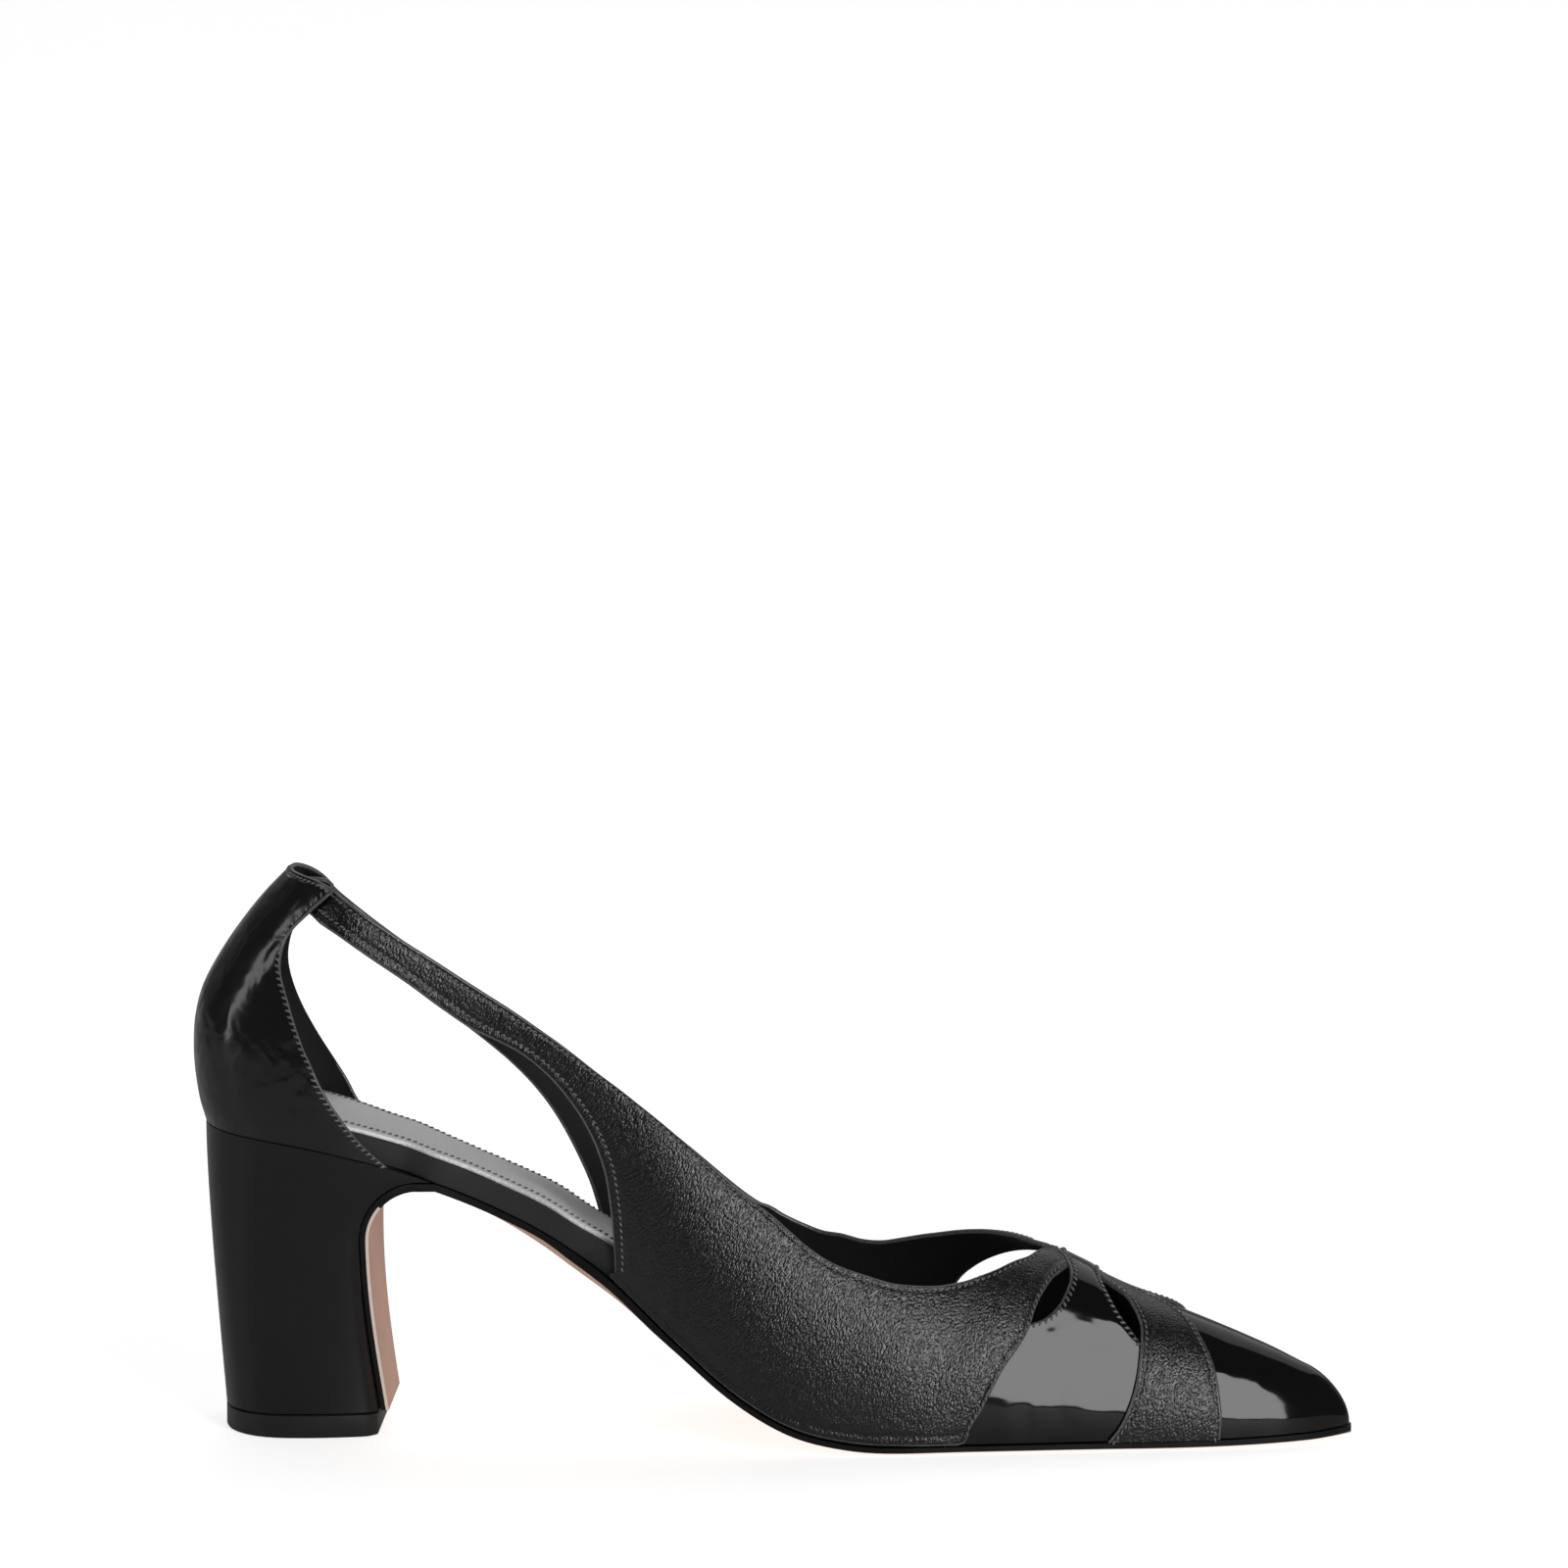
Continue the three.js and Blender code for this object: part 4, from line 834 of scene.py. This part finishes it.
panels = {
    "medial_quarter": Panel("medial_quarter", between_edges(MEDIAL_QUARTER, MEDIAL), quarter_lift,
                            UPPER_WALL, PITCH, ("low", "high"), {"low": EDGE_SEAM, "high": TOP_SEAM}),
    "lateral_quarter": Panel("lateral_quarter", between_edges(LATERAL_QUARTER, LATERAL), quarter_lift,
                             UPPER_WALL, PITCH, ("low", "high"), {"low": EDGE_SEAM, "high": TOP_SEAM}),
    "keeper_band": Panel("keeper_band", over_ridge(band_rear, band_front), band_lift,
                         BAND_WALL, PITCH, ("low", "high")),
    "cross_strap": Panel("cross_strap", over_ridge(cross_rear, cross_front), even_lift(CROSS_LIFT),
                         OVERLAY_WALL, PITCH, ("low", "high"),
                         {"low": FRONT_SEAM, "high": FRONT_SEAM}),
    "toe_cap": Panel("toe_cap", over_ridge(cap_tuck, TIP_STATION), even_lift(CAP_LIFT),
                     OVERLAY_WALL, PITCH, ("low",)),
    "heel_counter": Panel("heel_counter", round_heel, even_lift(COUNTER_LIFT), OVERLAY_WALL, PITCH,
                          ("start", "end", "high"), {"high": TOP_SEAM}),
}
# The third slot of each piece is its rim, in the lighter rim colour that is a painted highlight; the toe
# cap keeps patent there.
finishes = {"medial_quarter": [nappa, lining, rim_lacquer],
            "lateral_quarter": [nappa, lining, rim_lacquer],
            "keeper_band": [patent, lining, rim_lacquer],
            "cross_strap": [nappa, lining, rim_lacquer],
            "toe_cap": [patent, lining, patent],
            "heel_counter": [counter_patent, lining, rim_lacquer]}
pieces = {name: leather_piece(panel, finishes[name]) for name, panel in panels.items()}


# %% [markdown]
# ## The insole, the heel and the sole
# Under the foot lie the covered platform with its foil sock, the leather outsole, which
# turns down over the breast of the heel, and the block heel with its rubber top piece.
# Each one is a loft: rings with as many points each, joined from end to end, with rings
# close together where the shape turns and extra corners where an edge is rounded.

# %% Lofts
def loft(name, rings, slot_of, materials):
    """Rings joined end to end, with fans over both ends."""
    rings = np.array(rings)
    count, size = rings.shape[:2]
    points = np.concatenate([rings.reshape(-1, 3), rings[[0, -1]].mean(axis=1)])
    polygons, slots = [], []
    for i in range(count - 1):
        for j in range(size):
            k = (j + 1) % size
            polygons.append((i * size + j, i * size + k, (i + 1) * size + k, (i + 1) * size + j))
            slots.append(slot_of(i, j))
    first, last = count * size, count * size + 1
    for j in range(size):
        k = (j + 1) % size
        polygons.append((first, k, j))
        polygons.append((last, (count - 1) * size + j, (count - 1) * size + k))
        slots += [slot_of(0, j), slot_of(count - 2, j)]
    keys = np.round(points / LOFT_MERGE).astype(np.int64)
    _, kept, same = np.unique(keys, axis=0, return_index=True, return_inverse=True)
    same = same.reshape(-1)
    polygons = [tuple(same[c] for c in polygon) for polygon in polygons]
    return solid_object(name, points[kept], polygons, slots, materials)


# %% Tables of the waist and the platform
MEDIAL_WAIST_END, LATERAL_WAIST_END = 0.362, 0.342
PLATFORM_RIM = [
    [0.000, 1.00, 1.00], [0.060, 1.00, 0.80], [0.110, 1.00, 0.60], [0.180, 0.97, 0.50],
    [0.230, 1.01, 0.48], [0.270, 1.02, 0.53], [0.303, 1.085, 0.48], [0.335, 1.125, 0.34],
    [0.360, 1.33, 0.36], [0.420, 1.27, 0.61], [0.500, 0.94, 0.74], [0.580, 0.40, 0.40],
    [0.700, 0.30, 0.30], [1.000, 0.30, 0.30],
]
platform_rim = side_curves(PLATFORM_RIM)
waist_end = {MEDIAL: MEDIAL_WAIST_END, LATERAL: LATERAL_WAIST_END}
COVER_START_X = 165


def covered_depth(station, girth, side):
    """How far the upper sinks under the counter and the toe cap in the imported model."""
    x = station_x(station)
    along, margin = along_of(x), COVER_MARGIN / LAST_LENGTH
    full = np.where(x < COVER_START_X, np.interp(along, [0, 0.3, 0.64, 0.75], [0.5, 0.37, 0.5, 1]), 1)
    height = np.minimum(girth / full, 1)
    counter = 1 - smooth((along - counter_edge[side](height) - margin) / margin)
    cap = smooth((x - cross_front(girth, side)) / COVER_MARGIN + 2)
    return (OVERLAY_WALL + GAP) * np.maximum(counter, cap)


def platform_top(x, share):
    """The top face, which falls to the outer side at the arch."""
    along = along_of(x)
    rim = lerp(platform_rim[MEDIAL](along), platform_rim[LATERAL](along), share)
    return feather_height(x) + rim * PLATFORM_HEIGHT


def waist_share(x, side):
    margin = COVER_MARGIN / LAST_LENGTH
    behind = smooth((along_of(x) - counter_edge[side](0.0) - margin / 2) / margin)
    ahead = smooth((waist_end[side] - along_of(x) - margin / 2) / margin)
    return behind * ahead


def inside_edge(station, side, height):
    """The furthest out that a piece of this height may reach inside the upper."""
    def clear(girth):
        depth = covered_depth(station, girth, side) + UPPER_WALL + GAP
        return last_point(station, girth, side) - outward(station, girth, side) * depth
    toe = np.where(station > 2, np.cos(np.clip(station - 2, 0, 1) * math.pi / 2), 1)
    rise = section["rise"](along_of(station_x(station))) * INSTEP_RISE * toe
    low = clear(0.0)
    high = clear(float(np.arcsin(min(height / rise, 1)) * 2 / math.pi))
    return low[0], side * min(side * low[1], side * high[1])


INNER_STATIONS = np.concatenate([[0.05], np.linspace(0.12, 1, 16), np.linspace(1, 2, 90)[1:],
                                 [2.1, 2.2, 2.3, 2.4, 2.48]])


CORNER = [(0.0, 1.0), (0.12, 0.62), (0.29, 0.29), (0.62, 0.08), (1.0, 0.0)]
MIDDLE_COLUMNS = 11


def inside_rings(inset, bottom, top, round_radius, middle_crown):
    """Rings across the inside of the shoe with rounded upper corners."""
    rings = []
    for station in INNER_STATIONS:
        x = float(station_x(station))
        ends = []
        for side, edge_share in ((MEDIAL, 0), (LATERAL, 1)):
            covered = inside_edge(station, side, float(top(x, edge_share) - feather_height(x)) + GAP)
            open_edge = last_point(station, 0, side)
            share = waist_share(x, side)
            ends.append((lerp(covered[0], open_edge[0], share), lerp(covered[1], open_edge[1], share)))
        (x0, y0), (x1, y1) = ends
        back = inset * max(1 - station, 0)
        rim, rounding = inset / (y1 - y0), round_radius / (y1 - y0)
        near = [rim + k * rounding for k, _ in CORNER]
        middle = list(np.linspace(near[-1], 1 - near[-1], MIDDLE_COLUMNS + 2)[1:-1])
        drops = [fall * round_radius for _, fall in CORNER]
        drops = drops + [0.0] * len(middle) + drops[::-1]
        upper, lower = [], []
        for share, drop in zip(near + middle + [1 - s for s in near[::-1]], drops):
            at, across = lerp(x0, x1, share) + back, lerp(y0, y1, share)
            crown = middle_crown * (1 - (2 * share - 1)**2)
            upper.append((at, across, float(top(at, share)) - drop + crown))
            lower.append((at, across, float(bottom(at, share))))
        rings.append(lower + upper[::-1])
    return rings


# %% Platform and sock
SOCK_INSET, SOCK_THICKNESS = 1.2, 1.0
pieces["platform_insole"] = loft(
    "platform_insole",
    inside_rings(0, lambda x, share: feather_height(x), platform_top, 0.35, 0), lambda i, j: 0,
    [platform_cover])


def under_sock(x, share):
    return platform_top(x, share) + 0.05


def on_sock(x, share):
    return under_sock(x, share) + SOCK_THICKNESS


sock_rings = inside_rings(SOCK_INSET, under_sock, on_sock, 0.55, 0.25)
pieces["sock_lining"] = loft("sock_lining", sock_rings, lambda i, j: 0, [foil_sock])

# %% The block heel
BREAST_FOOT_X = TOP_PIECE_LENGTH / 2 - SOLE_THICKNESS + FLAP_OVERHANG
BREAST_TOP_X = BREAST_FOOT_X - BREAST_LEAN
WING_X = BREAST_TOP_X + WING_LENGTH
TURN_X = BREAST_TOP_X + TURN_LENGTH
TURN_RISE = float(feather_height(TURN_X)) - SOLE_THICKNESS - BREAST_HEIGHT
HEEL_FOOT = TOP_PIECE_THICKNESS + GAP
HEEL_WIDEST, HEEL_ROUNDNESS, HEEL_TAPER = 0.45, 2.3, 0.16
HEEL_CORNER, CORNER_SHARE, HEEL_FLARE = 0.09, 0.07, 1.4


def heel_foot_half(share):
    """Half the heel's width in plan at a share of its length from back to breast."""
    full = TOP_PIECE_WIDTH / 2
    if share < HEEL_WIDEST:
        return full * (1 - (1 - share / HEEL_WIDEST)**HEEL_ROUNDNESS)**(1 / HEEL_ROUNDNESS)
    taper = HEEL_TAPER * ((share - HEEL_WIDEST) / (1 - HEEL_WIDEST))**2
    corner = HEEL_CORNER * max(1 - (1 - share) / CORNER_SHARE, 0)**2
    return full * (1 - taper - corner)


def breast_x(z):
    if z <= BREAST_HEIGHT:
        share = (z - HEEL_FOOT) / (BREAST_HEIGHT - HEEL_FOOT)
        return BREAST_FOOT_X - BREAST_LEAN * math.sin(share * math.pi / 2)
    lift = min((z - BREAST_HEIGHT) / TURN_RISE, 1)
    return TURN_X - TURN_LENGTH * math.sqrt(1 - lift * lift)


def seat_height(x):
    return float(feather_height(x)) - GAP


def heel_level(x, z):
    """0 at the heel's foot and 1 at the seat over it."""
    return (z - HEEL_FOOT) / (seat_height(x) - HEEL_FOOT)


TURN_ANGLES = np.linspace(0, math.pi / 2, 24)
BLOCK_FRONT = [(breast_x(z) - GAP, z) for z in np.linspace(HEEL_FOOT, BREAST_HEIGHT, 24)[:-1]]
BLOCK_FRONT += [(TURN_X - (TURN_LENGTH + GAP) * math.cos(angle),
                 BREAST_HEIGHT + (TURN_RISE + GAP) * math.sin(angle)) for angle in TURN_ANGLES]
BLOCK_FRONT.append((WING_X, seat_height(WING_X)))
HEEL_SHARES = np.array([0, 0.002, 0.008, 0.018, 0.032, 0.05, 0.075, 0.105, 0.14, 0.18, 0.23, 0.29,
                        0.36, 0.45, 0.55, 0.65, 0.75, 0.84, 0.91, 0.95, 0.975, 0.99, 1])


def heel_half(share, x, level, side):
    station = station_at(np.clip(x, BACK_X, TIP_X))
    seat_half = abs(float(last_point(station, 0, side)[1]))
    return lerp(heel_foot_half(share), seat_half, level**HEEL_FLARE)


def heel_ring(front):
    """One ring of the block, back from a point on its front."""
    level = heel_level(*front)
    back = lerp(-TOP_PIECE_LENGTH / 2, BACK_X, level) - HEEL_BOW * math.sin(level * math.pi)

    def edge(side):
        row = []
        for share in HEEL_SHARES:
            x = lerp(back, front[0], share)
            y = side * heel_half(share, x, level, side) if share else 0.0
            row.append((x, y, HEEL_FOOT + level * (seat_height(x) - HEEL_FOOT)))
        return row

    return edge(MEDIAL) + edge(LATERAL)[::-1]


pieces["heel_block"] = loft("heel_block", [heel_ring(front) for front in BLOCK_FRONT],
                            lambda i, j: 0, [heel_cover])

# %% Top piece: a slab of rubber with a small bevel
TOP_BEVEL = 0.5


def top_piece_ring(z, inset):
    def edge(side):
        return [((share - 0.5) * (TOP_PIECE_LENGTH - 2 * inset),
                 side * max(heel_foot_half(share) - inset, 0) if share else 0.0, z)
                for share in HEEL_SHARES]
    return edge(MEDIAL) + edge(LATERAL)[::-1]


pieces["top_piece"] = loft("top_piece", [
    top_piece_ring(0, TOP_BEVEL), top_piece_ring(0.15, TOP_BEVEL / 3), top_piece_ring(TOP_BEVEL, 0),
    top_piece_ring(TOP_PIECE_THICKNESS - TOP_BEVEL / 2, 0),
    top_piece_ring(TOP_PIECE_THICKNESS, TOP_BEVEL / 2),
], lambda i, j: 0, [rubber])

# %% Outsole with its breast flap and black edge
SOLE_SHARES = np.array([0, 0.004, 0.012, 0.025, 0.045, 0.075, 0.12, 0.19, 0.29, 0.4])
SOLE_SHARES = np.concatenate([SOLE_SHARES, [0.5], 1 - SOLE_SHARES[::-1]])
SOLE_COLUMNS = len(SOLE_SHARES)
FLAP_SIDE, FLAP_CHAMFER, BELLY_POWER = 1.1, 0.35, 8
BLACK_EDGE = [[27, 1.6], [43, 1.55], [51, 1.5], [58.5, 2.2], [66, 2.1], [73, 2.1], [80, 1.6], [92, 1.4],
              [222, 1.3]]
black_edge = curve(*zip(*BLACK_EDGE))


def sole_ring(inner, down, edges, side_height, chamfer, crown):
    """One ring across the outsole, on its top face at "inner", with its underside "down".

    The black side is as high as side_height. Below it the belly swells out steeply."""
    start, end = edges

    def at(y, reach):
        return inner[0] + down[0] * reach, y, inner[1] + down[1] * reach

    swell = 1 - np.abs(2 * SOLE_SHARES - 1)**BELLY_POWER
    if chamfer:
        swell = np.ones(SOLE_COLUMNS)
    reach = side_height + (SOLE_THICKNESS - side_height + crown) * swell
    under = [at(lerp(start + chamfer, end - chamfer, s), r) for s, r in zip(SOLE_SHARES, reach)]
    upper = [at(lerp(start, end, s), 0) for s in SOLE_SHARES]
    return under + [at(end, side_height)] + upper[::-1] + [at(start, side_height)]


def breast_ring(z, down):
    x = breast_x(z)
    edges = [side * heel_half(1, x, heel_level(x, z), side) for side in (MEDIAL, LATERAL)]
    return sole_ring((x, z), down, edges, FLAP_SIDE, FLAP_CHAMFER, 0)


sole_rings = [breast_ring(z, (1, 0)) for z in np.linspace(HEEL_FOOT, BREAST_HEIGHT, 24)]
for angle in TURN_ANGLES[1:-1]:
    sole_rings.append(breast_ring(BREAST_HEIGHT + TURN_RISE * math.sin(angle),
                                  (math.cos(angle), -math.sin(angle))))
RAW_RINGS = len(sole_rings) - len(TURN_ANGLES) // 2
sole_stations = np.concatenate([np.linspace(float(station_at(WING_X + 1.0)), 2, 90),
                                [2.1, 2.2, 2.3, 2.4, 2.5, 2.6, 2.7, 2.78, 2.86, 2.92]])
for station in sole_stations:
    x = float(station_x(station))
    edges = [float(last_point(station, 0, side)[1]) + side * SOLE_MARGIN for side in (MEDIAL, LATERAL)]
    waist = smooth((x - CROWN_START) / CROWN_RISE) * (1 - smooth((x - CROWN_END) / CROWN_FADE))
    inner = (x + SOLE_MARGIN * max(station - 2, 0), seat_height(x))
    sole_rings.append(sole_ring(inner, (0, -1), edges, float(black_edge(x)), 0, WAIST_CROWN * float(waist)))


def sole_slot(i, j):
    """0 tan leather, 1 black edge paint, 2 the raw cut edge beside the heel breast."""
    if SOLE_COLUMNS <= j <= 2 * SOLE_COLUMNS:
        return 1
    if j in (SOLE_COLUMNS - 1, 2 * SOLE_COLUMNS + 1):
        return 2 if i < RAW_RINGS else 1
    return 0


pieces["outsole"] = loft("outsole", sole_rings, sole_slot, [sole_leather, edge_paint, raw_edge])

# %% [markdown]
# ## Stitches
# The seams are the finest detail of this shoe: a lockstitch 1 to 2 mm inside most edges,
# and a row of slanted overlock beads along the keeper band and the counter's inner edge.
# Geometry Nodes put one thread on each step of a line. Each line is a chain of points that
# carries the way out of the leather as an attribute, so every thread lies on its own bit
# of surface.

# %% Stitch tree
def stitch_tree():
    tree = bpy.data.node_groups.new("stitches_on_a_line", "GeometryNodeTree")
    face = tree.interface
    face.new_socket("Geometry", in_out="INPUT", socket_type="NodeSocketGeometry")
    for label, value in (("Pitch", 0.0012), ("Thread length", 0.001), ("Thread radius", 0.0002),
                         ("Slant", 0.0), ("Height", 0.0)):
        socket = face.new_socket(label, in_out="INPUT", socket_type=FLOAT)
        socket.default_value = value
    face.new_socket("Thread", in_out="INPUT", socket_type="NodeSocketMaterial")
    face.new_socket("Geometry", in_out="OUTPUT", socket_type="NodeSocketGeometry")
    given = tree.nodes.new("NodeGroupInput").outputs
    result = tree.nodes.new("NodeGroupOutput")

    line = add(tree, "GeometryNodeMeshToCurve", Mesh=given["Geometry"])
    steps = add(tree, "GeometryNodeResampleCurve", {"mode": "LENGTH"}, Curve=line.outputs["Curve"],
                Length=given["Pitch"])

    ball = add(tree, "GeometryNodeMeshUVSphere", Segments=8, Rings=5, Radius=1.0)
    half_length = math_node(tree, "MULTIPLY", given["Thread length"], 0.5)
    sizes = add(tree, "ShaderNodeCombineXYZ", X=half_length, Y=given["Thread radius"],
                Z=given["Thread radius"])
    slant = add(tree, "ShaderNodeCombineXYZ", Z=given["Slant"])
    raised = add(tree, "ShaderNodeCombineXYZ", Z=given["Height"])
    thread_shape = add(tree, "GeometryNodeTransform", Geometry=ball.outputs["Mesh"],
                       Scale=sizes.outputs[0], Rotation=slant.outputs[0],
                       Translation=raised.outputs[0])

    way_out = add(tree, "GeometryNodeInputNamedAttribute", {"data_type": "FLOAT_VECTOR"},
                  Name="way_out")
    tangent = tree.nodes.new("GeometryNodeInputTangent")
    axes = add(tree, "FunctionNodeAxesToRotation", {"primary_axis": "Z", "secondary_axis": "X"},
               Primary_Axis=way_out.outputs["Attribute"], Secondary_Axis=tangent.outputs["Tangent"])
    threads = add(tree, "GeometryNodeInstanceOnPoints", Points=steps.outputs["Curve"],
                  Instance=thread_shape.outputs["Geometry"], Rotation=axes.outputs["Rotation"])
    real = add(tree, "GeometryNodeRealizeInstances", Geometry=threads.outputs["Instances"])
    rounded = add(tree, "GeometryNodeSetShadeSmooth", Geometry=real.outputs["Geometry"])
    dyed = add(tree, "GeometryNodeSetMaterial", Geometry=rounded.outputs["Geometry"],
               Material=given["Thread"])
    tree.links.new(dyed.outputs["Geometry"], result.inputs["Geometry"])
    return tree


stitches = stitch_tree()
socket_ids = {item.name: item.identifier for item in stitches.interface.items_tree
              if item.in_out == "INPUT"}
print("stitch inputs:", sorted(socket_ids))


# %% Sewing: lines become threads, and the result is kept as a plain mesh
def sew(name, lines, material, **values):
    """lines are arrays of x, y, z and the way out at each point, in mm."""
    points = np.concatenate(lines)
    edges, start = [], 0
    for line in lines:
        edges += [(start + i, start + i + 1) for i in range(len(line) - 1)]
        start += len(line)
    mesh = bpy.data.meshes.new(name)
    mesh.from_pydata((points[:, :3] * MM).tolist(), edges, [])
    way_out = mesh.attributes.new("way_out", "FLOAT_VECTOR", "POINT")
    way_out.data.foreach_set("vector", points[:, 3:].astype(np.float32).ravel())
    guide = bpy.data.objects.new(name + "_guide", mesh)
    bpy.context.scene.collection.objects.link(guide)
    modifier = guide.modifiers.new("Stitches", "NODES")
    modifier.node_group = stitches
    for label, value in values.items():
        modifier[socket_ids[label.replace("_", " ")]] = value
    modifier[socket_ids["Thread"]] = material
    evaluated = guide.evaluated_get(bpy.context.evaluated_depsgraph_get())
    sewn_mesh = bpy.data.meshes.new_from_object(evaluated)
    sewn_mesh.name = name
    sewn = bpy.data.objects.new(name, sewn_mesh)
    bpy.context.scene.collection.objects.link(sewn)
    bpy.data.objects.remove(guide)
    print(f"{name}: {len(sewn_mesh.polygons)} faces")
    return sewn


def cut(line, start, end):
    """The part of a line between two shares of its points."""
    count = len(line)
    return line[int(start * count):int(end * count)]


def sock_line(share):
    """A line along the top of the sock, between its inner (0) and its outer rim (1)."""
    rows = []
    for ring in sock_rings[8:88]:
        top_row = np.array(ring[len(ring) // 2:])[::-1]
        shares = (top_row[:, 1] - top_row[0, 1]) / (top_row[-1, 1] - top_row[0, 1])
        rows.append([np.interp(share, shares, top_row[:, k]) for k in range(3)] + [0, 0, 1])
    return np.array(rows)


def quarter_lines(panel):
    """The seams of a quarter: its topline, its rear edge and its front edge."""
    low = panel.places[1][:, 0]
    sole = np.nonzero(low < 0.01)[0]
    rear, front = panel.seam("low", EDGE_SEAM), panel.seam("low", QUARTER_FRONT_SEAM)
    return [cut(panel.seam("high", TOP_SEAM), 0.04, 0.97),
            rear[int(0.04 * len(rear)):sole[0]], front[sole[-1] + 1:int(0.98 * len(front))]]


lock_lines = [
    *quarter_lines(panels["medial_quarter"]),
    *quarter_lines(panels["lateral_quarter"]),
    panels["cross_strap"].seam("low", FRONT_SEAM),
    panels["cross_strap"].seam("high", FRONT_SEAM),
    panels["heel_counter"].seam("high", TOP_SEAM),
    sock_line(0.075), sock_line(0.925),
]
bead_lines = [
    panels["keeper_band"].seam("low", BEAD_SEAM),
    panels["keeper_band"].seam("high", BEAD_SEAM),
    panels["heel_counter"].seam("start", COUNTER_BEAD_SEAM),
]
pieces["lock_stitches"] = sew("lock_stitches", lock_lines, thread, Pitch=0.0014,
                              Thread_length=0.0012, Thread_radius=0.00026, Height=0.0001, Slant=0.35)
pieces["overlock_beads"] = sew("overlock_beads", bead_lines, thread, Pitch=0.0014,
                               Thread_length=0.0014, Thread_radius=0.0003, Height=0.00005, Slant=0.9)

# %% [markdown]
# ## Hand over to the imported model
# Each piece rides on the shoe's one body and hides the imported solid that it stands for.

# %% Ride and replace
STANDS_FOR = {
    "medial_quarter": ("upper", "nappa_leather"), "lateral_quarter": ("upper", "nappa_leather"),
    "cross_strap": ("upper", "nappa_leather"), "keeper_band": ("keeper_band", "patent_leather"),
    "toe_cap": ("toe_cap", "patent_leather"), "heel_counter": ("heel_counter", "patent_leather"),
    "platform_insole": ("platform_insole", "heel_cover"), "sock_lining": ("sock_lining", "metallic_lining"),
    "outsole": ("outsole", "sole_leather"), "heel_block": ("heel_block", "heel_cover"),
    "top_piece": ("top_piece", "top_piece_rubber"),
    "lock_stitches": (None, "nappa_leather"), "overlock_beads": (None, "patent_leather"),
}
for name, piece in pieces.items():
    node, slot = STANDS_FOR[name]
    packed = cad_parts.get(name)
    if packed is not None and packed is not piece and packed.name == name:
        piece.name = "looks_" + name
    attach(piece, "root")
    if node:
        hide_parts(node)
    triangles = sum(len(face.vertices) - 2 for face in piece.data.polygons)
    print(f"{piece.name}: {triangles} triangles")
